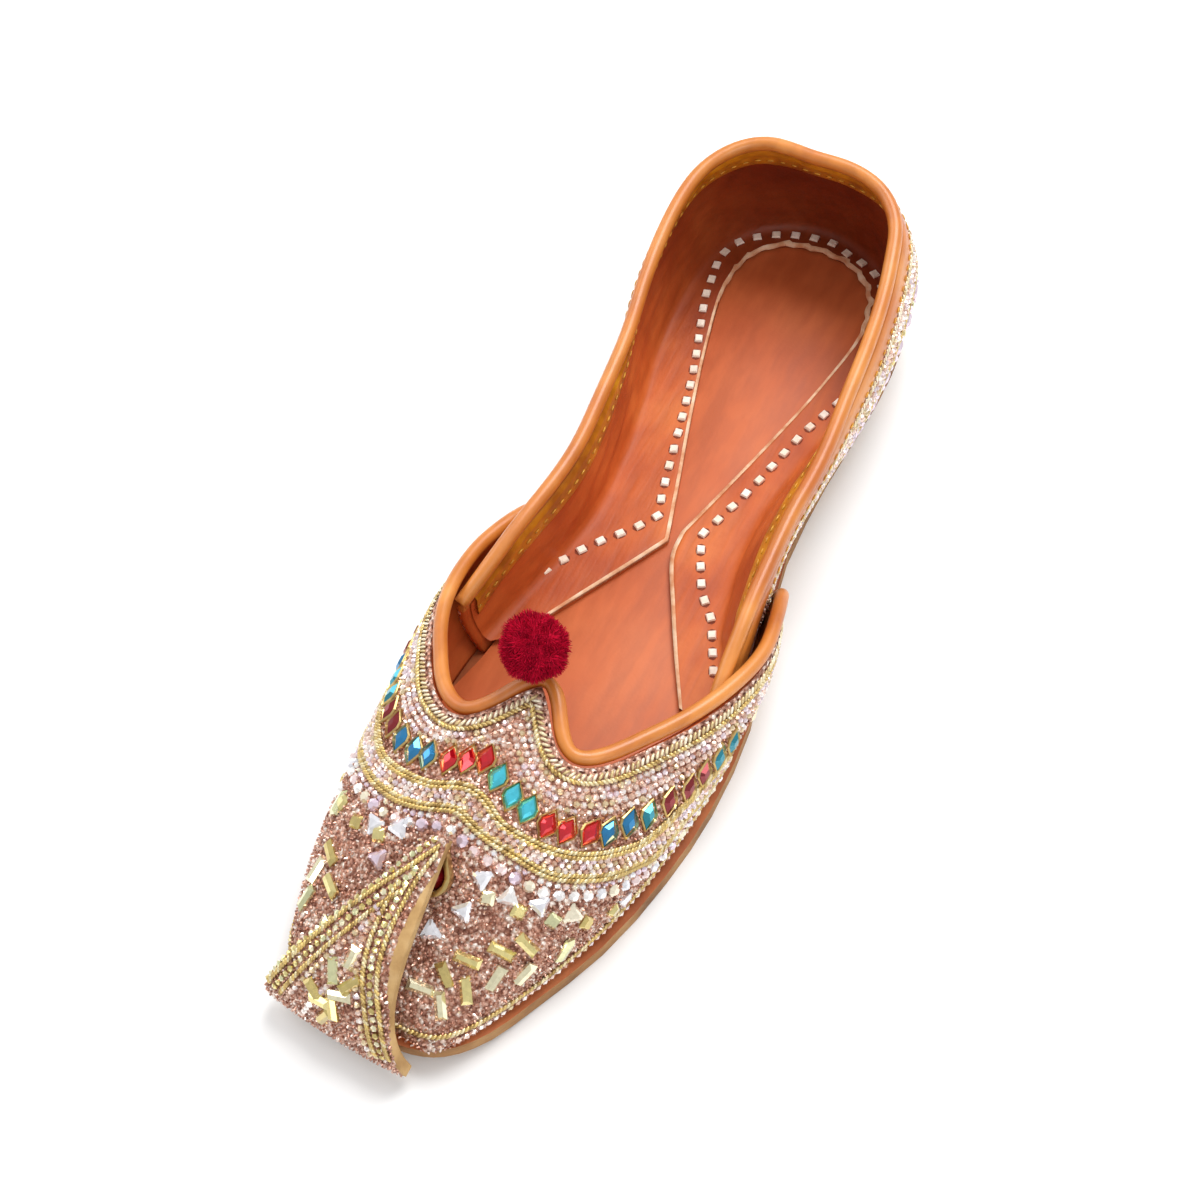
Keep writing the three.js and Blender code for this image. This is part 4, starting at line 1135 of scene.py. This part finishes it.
# Seed beads fill the cloth in front of the ropes and between the jewels and the first rope.
def seeded(centre, normal):
    if not outerVamp(centre, normal) or centre.z < seedDials["foot"] * mm:
        return False
    clear, behind = seedDials["clearOfRope"], seedDials["behindJewels"]
    besideJewels = beyond("jewels", centre) > -behind and beyond("ropeOne", centre) < -clear
    return beyond("ropeTwo", centre) > clear or besideJewels


def sowSeeds(name, source, keep, lean, seed):
    sowPatch(name, source, keep, shapes["seed"], finishes["seeds"], "beaded_cloth", seedDials["pitch"],
             smallest=0.8, twist=3.0, lean=lean, seed=seed)


sowSeeds("vamp seed beads", vamp, seeded, 0.5, 15)

# The line of beads just above the sole, which rises with the toe spring.
springDials = {"from": -89.5, "length": 31.5, "rise": 3.4, "power": 1.6, "toe": -85, "reach": 84,
               "breakAt": 8, "beadZ": 6.1, "ropeZ": 7.7}


def soleLine(z, rise):
    runs, trail = [], []
    toe, reach = springDials["toe"], springDials["reach"]
    rays = [(Vector((0, y, 0)), Vector((1, 0, 0))) for y in range(3, toe, -2)]
    rays += [(Vector((-8, toe, 0)), Vector((math.cos(a), math.sin(a), 0)))
             for a in (-math.pi * k / 60 for k in range(61))]
    rays += [(Vector((0, y, 0)), Vector((-1, 0, 0))) for y in range(toe, 4, 2)]
    for start, way in rays:
        y = start.y
        for _ in range(3):
            share = max(0, (springDials["from"] - y) / springDials["length"])
            height = z + springDials["rise"] * share ** springDials["power"]
            spot, normal, index, gap = vampTree.ray_cast(
                (start + way * (reach + 1) + Vector((0, 0, height))) * mm, -way, reach * mm)
            if spot:
                y = spot.y / mm
        if spot and normal.dot(way) > 0:
            if trail and (trail[-1][0] - spot).length > springDials["breakAt"] * mm:
                runs.append(trail)
                trail = []
            trail.append((spot + normal * rise * mm, normal))
    return runs + [trail]


sewRows("bead line at the sole", soleLine(springDials["beadZ"], 0.1), shapes["clearBead"],
        finishes["pinks"], "beaded_cloth", 1.75, smallest=0.85, twist=3.0, seed=16)
sewRows("rope at the sole", soleLine(springDials["ropeZ"], 0.0), shapes["strand"], finishes["rope"],
        "beaded_cloth", 0.95, slant=0.6, seed=17)
print("vamp sewn")

# Toe flap: beaded outside, tan leather edges and underside

flap.data.materials.append(finishes["ground"])
flap.data.materials.append(finishes["tan"])


def flapLine(pixels):
    return onSkin(flapTree, smoothed(curveThrough([seenOn(flapTree, px, py)[0] for px, py in pixels]), 2))


bands = {"flapLeft": flapLine([(226, 792), (262, 757), (300, 728), (328, 710), (346, 698)]),
         "flapRight": flapLine([(312, 845), (305, 815), (303, 795), (307, 770), (320, 740), (333, 718),
                                (345, 703)])}
for side, band in bands.items():
    remember(side, band)
for facet in flap.data.polygons:
    beaded = flapFacing(facet.center, facet.normal) > 0.45 and beyond("flapRight", facet.center) < 2.2
    facet.material_index = 0 if beaded else 1
onShoe(flap, "beaded_cloth", "toe_flap")


# Rows beside the two bands: the side, how far beside it, and how clear of the other band they end.
flapDials = {"ropes": (("flapLeft", 0, 0.6), ("flapLeft", 3.4, 1.2), ("flapRight", 0, 0.3),
                       ("flapRight", -3.2, 1.2)),
             "beads": (("flapLeft", 1.7, 1.2), ("flapRight", -1.6, 1.0), ("flapLeft", -1.7, 1.0)),
             "pinks": (("flapLeft", 5.0, 3.0), ("flapRight", -4.8, 3.0), ("flapLeft", 9.5, 5.5)),
             "seedEdges": (2.1, -2.4)}


def flapRows(kind):
    rows = []
    for side, reach, clear in flapDials[kind]:
        opposite, sign = ("flapRight", -1) if side == "flapLeft" else ("flapLeft", 1)
        beside = aside(flapTree, bands[side], reach, 1.0) if reach else bands[side]
        line = onSkin(flapTree, smoothed([p for p, n in beside], 3))
        rows.append([(p, n) for p, n in line if sign * beyond(opposite, p) > clear])
    return [row for row in rows if len(row) > 3]


def flapSeeded(centre, normal):
    right, left = flapDials["seedEdges"]
    return (flapFacing(centre, normal) > 0.6 and beyond("flapRight", centre) < right
            and beyond("flapLeft", centre) > left)


sewRows("toe flap ropes", flapRows("ropes"), shapes["strand"], finishes["rope"], "beaded_cloth", 0.9,
        slant=0.6, twist=0.1, seed=21)
sewRows("toe flap clear beads", flapRows("beads"), shapes["clearBead"], finishes["bars"], "beaded_cloth",
        1.75, smallest=0.85, twist=3.0, seed=22)
sewRows("toe flap crystals", flapRows("pinks"), shapes["smallCrystal"], finishes["pinks"],
        "beaded_cloth", 1.6, smallest=0.85, twist=3.0, lean=0.2, seed=23)
flapBarPlaces = [(285, 776, -62), (271, 785, 84), (284, 795, -30), (262, 806, 20), (271, 811, 75),
                 (266, 816, -40), (276, 803, 10), (258, 799, 60)]
flapBars = seenStones(flapTree, flapBarPlaces, (0.95, 1, 1))
setSpots("toe flap bars", flapBars, shapes["baguette"], finishes["bars"], "beaded_cloth", lean=0.15,
         seed=24)
sowSeeds("toe flap seed beads", flap, flapSeeded, 0.4, 25)
print("toe flap sewn")

# Outside of the quarter

quarterPiping = smoothCopy("quarter_piping", "collar piping", 2, 60)
quarterPiping.data.materials.append(finishes["piping"])
onShoe(quarterPiping, "piping_leather", "quarter_piping")


def wallBand(name, upper, lower, side, rise, finish, slotName, first, last, rows=6, lean=None):
    grid, s = [], first
    while s <= last:
        column = []
        for k in range(rows + 1):
            z = topOf(s) - upper - (lower - upper) * k / rows
            hit = side(s, z)
            if not hit:
                break
            lift = rise * (1 if 0 < k < rows else 0.15) + (lean(s, z) if lean else 0)
            column.append(hit[0] + hit[1] * lift * mm)
        if len(column) == rows + 1:
            grid.append(column)
        s += 1.5
    obj = gridMesh(name, grid)
    if side is insideAt:
        obj.data.flip_normals()
    obj.data.materials.append(finish)
    return onShoe(obj, slotName)


quarter.data.materials.append(finishes["piping"])
for facet in quarter.data.polygons:
    if facet.center.z / mm > topOf(pathAt(facet.center)) - 2.5:
        facet.material_index = 2

# Depths are below the topline, and names that end in Z are heights above the floor.
heelDials = {"bandLow": 5.2, "stitchAt": 4.0, "chainAt": 6.2, "pinkAt": (7.7, 9.2, 10.7), "ropeAt": 12.2,
             "lowestZ": 7.4, "stonePitch": 4.3, "stonesZ": 10.6, "ropeZ": 8.1, "lineZ": 6.1, "seedsAt": 5.6,
             "stoneHues": ("darkTeal", "darkTeal", "teal", "darkRed", "darkRed", "red"),
             "fringeZ": (13.5, 14.6), "fringeSwing": 1.7, "fringeWave": 8.6}
wallBand("outside binding", 0.2, heelDials["bandLow"], outsideAt, 0.4, finishes["piping"], "piping_leather",
         5, wholePath - 5)


def belowTop(depth):
    return lambda s: max(topOf(s) - depth, heelDials["lowestZ"])


def shownLine(height, step=1.5, rise=0.0):
    return roundQuarter(height, shownFrom, shownTo, step, rise=rise)


sewRows("binding stitches", [shownLine(belowTop(heelDials["stitchAt"]), rise=0.45)], shapes["dash"],
        finishes["yellowThread"], "piping_leather", 2.9, seed=31)
sewRows("collar whipped edge", [shownLine(belowTop(heelDials["chainAt"]))], shapes["whip"],
        finishes["chain"], "beaded_cloth", 1.25, slant=0.95, twist=0.08, seed=32)
sewRows("collar crystals", [shownLine(belowTop(depth)) for depth in heelDials["pinkAt"]],
        shapes["smallCrystal"], finishes["pinks"], "beaded_cloth", 1.5, smallest=0.8, twist=3.0, lean=0.2,
        seed=33)
sewRows("collar rope", [shownLine(belowTop(heelDials["ropeAt"]))], shapes["strand"], finishes["rope"],
        "beaded_cloth", 0.9, slant=0.62, seed=34)

stoneSpots, travelled, lastPoint = [], heelDials["stonePitch"], None
stoneLine = shownLine(lambda s: heelDials["stonesZ"], 0.5)
for (p, n), t in zip(stoneLine, headings([p for p, n in stoneLine])):
    travelled += (p - lastPoint).length / mm if lastPoint else 0
    lastPoint = p
    if travelled >= heelDials["stonePitch"]:
        travelled = 0
        hue = heelDials["stoneHues"][len(stoneSpots) % len(heelDials["stoneHues"])]
        stoneSpots.append((p, n, t, (1, 1, 1), stoneTints[hue]))
setSpots("heel row stones", stoneSpots, shapes["rowStone"], finishes["jewels"], "red_glass", seed=35)
setSpots("heel row rims", stoneSpots, shapes["rowRim"], finishes["gilt"], "gilt_metal")


def fringeLine(foot):
    swing, wave = heelDials["fringeSwing"], heelDials["fringeWave"]
    return shownLine(lambda s: foot + swing * abs(math.sin(math.pi * s / wave)), 0.6)


sewRows("couched fringe", [fringeLine(foot) for foot in heelDials["fringeZ"]], shapes["whip"],
        finishes["rope"], "beaded_cloth", 0.95, slant=1.2, twist=0.1, seed=36)
sewRows("heel lower rope", [shownLine(lambda s: heelDials["ropeZ"])], shapes["strand"], finishes["rope"],
        "beaded_cloth", 0.9, slant=0.62, seed=37)
sewRows("heel bead line", [shownLine(lambda s: heelDials["lineZ"])], shapes["clearBead"],
        finishes["pinks"], "beaded_cloth", 1.75, smallest=0.85, twist=3.0, seed=38)

# Leaves in pairs about a round stone, where the heel is high enough for them, with two more stones
# above and below where it is higher still.
leafDials = {"pitch": 8.4, "step": 0.5, "top": 12.5, "footZ": 16.8, "least": 2.2, "tilt": 0.65,
             "reach": (1.6, 3.6), "stone": (2.5, 2.5, 2.0), "outerStone": (2.0, 2.0, 1.8), "outerFrom": 9,
             "setting": (-5, 112, 7)}
leaves, buds = [], []
leafLine = shownLine(lambda s: (topOf(s) - leafDials["top"] + leafDials["footZ"]) / 2, leafDials["step"])
# The setting's stone takes the place of a bud: its x, where its side begins, and the room it needs.
settingX, settingY, settingClear = (v * mm for v in leafDials["setting"])
travelled, lastPoint = leafDials["pitch"], None
for k, ((p, n), t) in enumerate(zip(leafLine, headings([p for p, n in leafLine]))):
    travelled += (p - lastPoint).length / mm if lastPoint else 0
    lastPoint = p
    room = topOf(shownFrom + k * leafDials["step"]) - leafDials["top"] - leafDials["footZ"]
    if travelled < leafDials["pitch"] or room <= leafDials["least"]:
        continue
    travelled = 0
    if p.y <= settingY or abs(p.x - settingX) >= settingClear:
        buds.append((p, n, t, leafDials["stone"], chances.random()))
    for angle in (leafDials["tilt"], -leafDials["tilt"], math.pi - leafDials["tilt"],
                  math.pi + leafDials["tilt"]):
        ahead = Matrix.Rotation(angle, 3, n) @ t
        reach = min(leafDials["reach"][1], leafDials["reach"][0] + room / 3)
        spot, normal, index, gap = quarterOuter.find_nearest(p + ahead * reach * mm)
        leaves.append((spot, normal, ahead, (0.9, 0.9, 1), stoneTints["clear"]))
    for way in (-1, 1) if room > leafDials["outerFrom"] else ():
        spot, normal, index, gap = quarterOuter.find_nearest(p + n.cross(t) * way * (room / 2) * mm)
        buds.append((spot, normal, t, leafDials["outerStone"], chances.random()))
setSpots("heel leaves", leaves, shapes["marquise"], finishes["ice"], "beaded_cloth", lean=0.12, seed=39)
setSpots("heel buds", buds, shapes["gem"], finishes["bars"], "beaded_cloth", lean=0.1, seed=40)


def quarterGround(centre, normal):
    outside = normal.dot(outOfQuarter(centre)) >= 0.2 and centre.y >= -2 * mm
    high = centre.z >= seedDials["foot"] * mm
    return outside and high and centre.z / mm < topOf(pathAt(centre)) - heelDials["seedsAt"]


sowSeeds("heel seed beads", quarter, quarterGround, 0.5, 41)
print("quarter sewn")

# Inside: lining with its turned-in foot, raw edge, binding strip and stitches

liningDials = {"thick": 0.35, "footTop": 7.45, "footLow": 6.0, "cove": 2.3, "coveRise": 2.45, "wallFoot": 9.9,
               "wallRows": 24, "flatRows": 8, "step": 1.3, "topDrop": 1.0, "lean": (0.46, 0.14),
               "leanBend": 8, "leanFades": (2, 22, 6, 44), "binding": (0.3, 8.0), "bindingStitch": (4.6, 3.1)}
footDials = {"long": 244, "wide": 71.5, "toe": -120.84}  # the cut's rows are shares of these
cutInner = [(0.956, -0.040), (0.948, -0.170), (0.922, -0.262), (0.870, -0.288), (0.790, -0.232),
            (0.700, -0.148), (0.620, -0.066), (0.553, 0.001), (0.510, -0.077), (0.450, -0.189),
            (0.392, -0.296)]
cutOuter = [(0.956, -0.040), (0.944, 0.110), (0.912, 0.205), (0.860, 0.238), (0.780, 0.200), (0.700, 0.140),
            (0.620, 0.072), (0.566, 0.024), (0.534, 0.038), (0.486, 0.120), (0.439, 0.206), (0.386, 0.310)]


def cutEdge(rows):
    points = [Vector((across * footDials["wide"] + photo["shift"][0],
                      along * footDials["long"] + footDials["toe"], 0)) * mm for along, across in rows]
    return resampled(curveThrough(points[:8], 0.8) + curveThrough(points[7:], 0.8)[1:], 0.8)


cutEdges = {"inner": cutEdge(cutInner), "outer": cutEdge(cutOuter)}


def cutPoint(s):
    share = abs(s / middleOfPath - 1)
    line = cutEdges["outer" if s < middleOfPath else "inner"]
    place = share * (len(line) - 1)
    k = min(int(place), len(line) - 2)
    return line[k].lerp(line[k + 1], place - k)


# Pull marks in the lining, as (place, height) to (place, height), half width and depth.
creases = [((286, 13), (252, 22), 1.3, 0.5), ((290, 16), (262, 24), 1.1, -0.45),
           ((280, 11), (240, 17), 1.5, 0.6), ((272, 11), (228, 14), 1.3, -0.5),
           ((262, 18), (222, 24), 1.2, 0.4), ((250, 12), (206, 19), 1.6, 0.6),
           ((296, 11), (276, 15), 1.1, 0.4), ((240, 20), (205, 28), 1.4, -0.4),
           ((44, 12), (76, 19), 1.4, 0.5), ((50, 17), (88, 24), 1.2, -0.4),
           ((70, 11), (108, 18), 1.6, 0.5), ((96, 14), (128, 26), 1.7, 0.5),
           ((206, 12), (186, 24), 2.0, 0.6), ((140, 12), (156, 26), 2.2, 0.55),
           ((170, 11), (176, 24), 2.0, -0.5), ((60, 14), (96, 15), 1.1, 0.35),
           ((256, 15), (230, 20), 1.0, -0.4), ((110, 20), (134, 32), 1.6, -0.4)]


def creaseDepth(s, z):
    depth = 0
    for (s0, z0), (s1, z1), width, deep in creases:
        run, rise = s1 - s0, z1 - z0
        share = ((s - s0) * run + (z - z0) * rise) / (run * run + rise * rise)
        if -0.1 < share < 1.1:
            gap = math.hypot(s - s0 - run * share, z - z0 - rise * share)
            fade = max(0, math.sin(math.pi * min(1, max(0, share))))
            depth += deep * math.exp(-(gap / width) ** 2) * fade
    return depth


# The outer side's lining stands in at its foot, so that its face can be seen from above.
def liningLean(s, z):
    start, fadeIn, end, fadeOut = liningDials["leanFades"]
    share = min(1, max(0, (s - start) / fadeIn)) * min(1, max(0, (straight - end - s) / fadeOut))
    depth = max(0, topOf(s) - liningDials["topDrop"] - z)
    steep, gentle = liningDials["lean"]
    bend = liningDials["leanBend"]
    return share * (steep * min(depth, bend) + gentle * max(0, depth - bend))


def liningColumn(s):
    foot = cutPoint(s)
    start, way = quarterRay(s)
    wallFoot = liningDials["wallFoot"]
    base = insideAt(s, wallFoot)
    if not base:
        return None
    top = topOf(s) - liningDials["topDrop"]
    inner = base[0] - way * (liningDials["thick"] + liningLean(s, wallFoot) + liningDials["cove"]) * mm
    column = [Vector((foot.x, foot.y, liningDials["footLow"] * mm))]
    for k in range(liningDials["flatRows"] + 1):
        p = foot.lerp(inner, k / liningDials["flatRows"])
        column.append(Vector((p.x, p.y, liningDials["footTop"] * mm)))
    for k in (1, 2, 3):
        angle = math.pi / 2 * k / 4
        p = inner + way * liningDials["cove"] * math.sin(angle) * mm
        height = liningDials["footTop"] + liningDials["coveRise"] * (1 - math.cos(angle))
        column.append(Vector((p.x, p.y, height * mm)))
    for k in range(liningDials["wallRows"] + 1):
        z = wallFoot + (top - wallFoot) * k / liningDials["wallRows"]
        hit = insideAt(s, z)
        if not hit:
            return None
        inset = liningDials["thick"] + creaseDepth(s, z) * 0.8 + liningLean(s, z)
        column.append(hit[0] - way * inset * mm)
    return column


columns, s = [], 1.5
while s < wholePath - 1.4:
    column = liningColumn(s)
    if column:
        columns.append(column)
    s += liningDials["step"]
lining = gridMesh("lining", columns)
lining.data.materials.append(finishes["lining"])
onShoe(lining, "lining_leather", "turn_in_medial", "turn_in_lateral")
print("lining columns", len(columns))

# The cut edge: a pale strip of the leather's own thickness, scalloped round the heel where it was pared.
rawDials = {"width": 0.95, "wave": 0.75, "pitch": 5.6, "from": 86, "fade": 12}
edgeRows = []
for k, column in enumerate(columns):
    across = (column[2] - column[1]).normalized()
    atHeel = min(1, max(0, (column[1].y / mm - rawDials["from"]) / rawDials["fade"]))
    run = 2 * math.pi * k * liningDials["step"] / rawDials["pitch"]
    wave = atHeel * rawDials["wave"] * (math.sin(run) + 0.5 * math.sin(run * 0.37 + 1))
    inner = column[1] - across * (0.5 * atHeel - wave * 0.5) * mm
    edgeRows.append([inner + Vector((0, 0, -0.9 * mm)), inner + Vector((0, 0, 0.08 * mm)),
                     inner + across * (rawDials["width"] + abs(wave) * 0.6) * mm + Vector((0, 0, 0.1 * mm))])
rawEdge = gridMesh("raw cut edge", edgeRows)
rawEdge.data.materials.append(finishes["rawEdge"])
onShoe(rawEdge, "lining_leather")

upper, lower = liningDials["binding"]
wallBand("inside binding", upper, lower, insideAt, 0.95, finishes["binding"], "piping_leather", 2,
         wholePath - 2, 7, liningLean)
depth, pitch = liningDials["bindingStitch"]
stitchTrail = roundQuarter(belowTop(depth), 3, wholePath - 3, side=insideAt, rise=0.98, lean=liningLean)
sewRows("inside binding stitches", [stitchTrail], shapes["dash"], finishes["yellowThread"],
        "piping_leather", pitch, smallest=0.8, twist=0.12, seed=51)

stitchPlaces = [(-28.4, -19), (-23, -6.9), (-16.5, 4.3), (-8.8, 13.6), (-5.2, 19), (-8.6, 32), (-11.4, 44),
                (-16.2, 63), (-22.7, 83), (-24.4, 91), (-25.4, 100), (-22.4, 107), (-13.1, 113), (-1.8, 115),
                (5.3, 112.5), (11.3, 110.5), (16.2, 106), (20.3, 97), (22.6, 76), (16.3, 54.5), (11.7, 35),
                (6.8, 19), (8.4, 14), (13.2, 4.3), (18.1, -1.6), (21.1, -7.3), (24.5, -14)]
lacingDials = {"z": 7.5, "pitch": 5.0, "clear": 3.2, "rise": 0.15}
shiftX, shiftY = photo["shift"]
stitchLine = [Vector((x + shiftX, y + shiftY, lacingDials["z"])) * mm for x, y in stitchPlaces]
stitchSpots = []
# Three runs, because the lacing turns sharply where it passes the waist.
for part in (stitchLine[:5], stitchLine[4:22], stitchLine[21:]):
    run = resampled(curveThrough(part, 0.5), lacingDials["pitch"])
    for p, t in zip(run, headings(run)):
        if not any((p - s[0]).length < lacingDials["clear"] * mm for s in stitchSpots):
            stitchSpots.append((p, Vector((0, 0, 1)), t, (1, 1, 1), chances.random()))
# Dark flat discs under the stitches: painted shade in the dent that each stitch pulls into the footbed.
setSpots("footbed stitch holes", [(p, n, t, (1, 1, 1), 0.5) for p, n, t, size, tint in stitchSpots],
         shapes["hole"], finishes["holes"], "lining_leather")
lift = Vector((0, 0, lacingDials["rise"] * mm))
setSpots("footbed stitches", [(p + lift, n, t, size, tint) for p, n, t, size, tint in stitchSpots],
         shapes["stitch"], finishes["cream"], "lining_leather", twist=0.12, lean=0.1, seed=52)

insole = bevelledCopy("insole", "footbed", 0.3)
insole.data.materials.append(finishes["footbed"])
onShoe(insole, "footbed_leather", "insole")

outsole = bevelledCopy("outsole", "leather outsole", 0.7, 3)
finishes["sole"] = leather("tan brown sole leather", {
    "base": tone(166, 118, 66), "deep": tone(126, 84, 42), "light": tone(190, 146, 92), "roughness": 0.6,
    "grain": 1200, "grainDepth": 0.3, "pulls": 420, "stretch": (1, 1, 6), "pullDepth": 0.35, "blotch": 70})
outsole.data.materials.append(finishes["sole"])
finishes["ledge"] = leather("reddish sole ledge", {
    "base": tone(184, 102, 56), "deep": tone(150, 76, 38), "light": tone(202, 126, 78), "roughness": 0.6})
outsole.data.materials.append(finishes["ledge"])
for facet in outsole.data.polygons:
    facet.material_index = 1 if facet.normal.z > 0.9 and facet.center.z > 3 * mm else 0
onShoe(outsole, "sole_leather", "outsole")

# Pompom: a wool ball of short fibres on a core

low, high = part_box("pompom")
ballCentre, ballRadius = (low + high) / 2, min((high - low) / 2)
pomDials = {"core": 0.85, "pitch": 0.3, "lump": 0.15, "lumpSize": 2.3}
shape = bmesh.new()
bmesh.ops.create_icosphere(shape, subdivisions=5, radius=ballRadius * pomDials["core"])
for vert in shape.verts:
    vert.co *= 1 + pomDials["lump"] * lumpAt(vert.co / (pomDials["lumpSize"] * mm))
    vert.co += ballCentre
coreMesh = bpy.data.meshes.new("pompom core")
shape.to_mesh(coreMesh)
shape.free()
core = newObject("pompom core", coreMesh)
core.data.shade_smooth()
core.data.materials.append(finishes["wool"])
onShoe(core, "pompom_yarn", "pompom")
sowPatch("pompom fibres", core, lambda c, n: True, shapes["fibre"], finishes["wool"], "pompom_yarn",
         pomDials["pitch"], smallest=0.72, twist=3.0, lean=0.4, seed=61)

# Stones in their settings

darkRed = tone(132, 14, 26)
finishes["garnet"] = tinted("dark red glass", [(0.0, darkRed), (1.0, darkRed)], 0.6, 0.08, 1.0)
for node in ("tip_stone", "heel_stone"):
    mesh = frame["nodes"][node].data
    mesh.materials.clear()
    mesh.materials.append(finishes["garnet"])
for node, name in (("tip_bezel", "tip setting"), ("heel_bezel", "heel setting")):
    setting = bevelledCopy(node, name, 0.22)
    setting.data.materials.append(finishes["gilt"])
    onShoe(setting, "gilt_metal", node)
print("inside, sole and stones done")

# Floor, light and camera

# A lamp's five numbers are its place in metres, its power and its size.
stageDials = {"floor": 6.0, "sky": 0.66, "key": (0.1, 0.6, 1.1, 12.6, 0.7),
              "fill": (-1.0, 0.1, 0.9, 5.0, 0.8), "front": (0.9, -0.7, 1.0, 4.0, 0.6),
              "lens": 56.0, "aim": (-5, -13, 18)}
half = stageDials["floor"] / 2
corners = [(-half, -half, 0), (half, -half, 0), (half, half, 0), (-half, half, 0)]
floor = meshFrom("floor", corners, [(0, 1, 2, 3)])
floor.data.materials.append(newMaterial("pale floor", Base_Color=(0.9, 0.9, 0.9, 1), Roughness=0.9)[0])
floor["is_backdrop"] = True

world = bpy.data.worlds.new("studio")
bpy.context.scene.world = world
world.use_nodes = True
background = world.node_tree.nodes["Background"]
background.inputs["Color"].default_value = (1, 1, 1, 1)
background.inputs["Strength"].default_value = stageDials["sky"]

aim = (cadLow + cadHigh) / 2
for label in ("key", "fill", "front"):
    x, y, z, power, size = stageDials[label]
    data = bpy.data.lights.new(label, "AREA")
    data.energy, data.size = power, size
    lamp = newObject(label, data)
    lamp.location = (x, y, z)
    lamp.rotation_euler = (aim - lamp.location).to_track_quat("-Z", "Y").to_euler()

sight = (Vector(stageDials["aim"]) * mm - photoPlace).normalized()
turnIn = photoForward.rotation_difference(sight)
axes = [turnIn @ v for v in (photoRight, -photoDown, -photoForward)]
cameraData = bpy.data.cameras.new("camera")
cameraData.lens, cameraData.sensor_width = stageDials["lens"], 36
camera = newObject("camera", cameraData)
place = Matrix(axes).transposed().to_4x4()
place.translation = photoPlace
camera.matrix_world = place
bpy.context.scene.camera = camera
bpy.context.scene.view_settings.view_transform = "Standard"

for shape in patterns:
    bpy.data.objects.remove(shape)
low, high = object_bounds()
triangleCount = sum(len(o.data.loop_triangles) or sum(len(f.vertices) - 2 for f in o.data.polygons)
                    for o in bpy.context.scene.objects if o.type == "MESH" and not o.hide_render)
print("triangles", triangleCount)
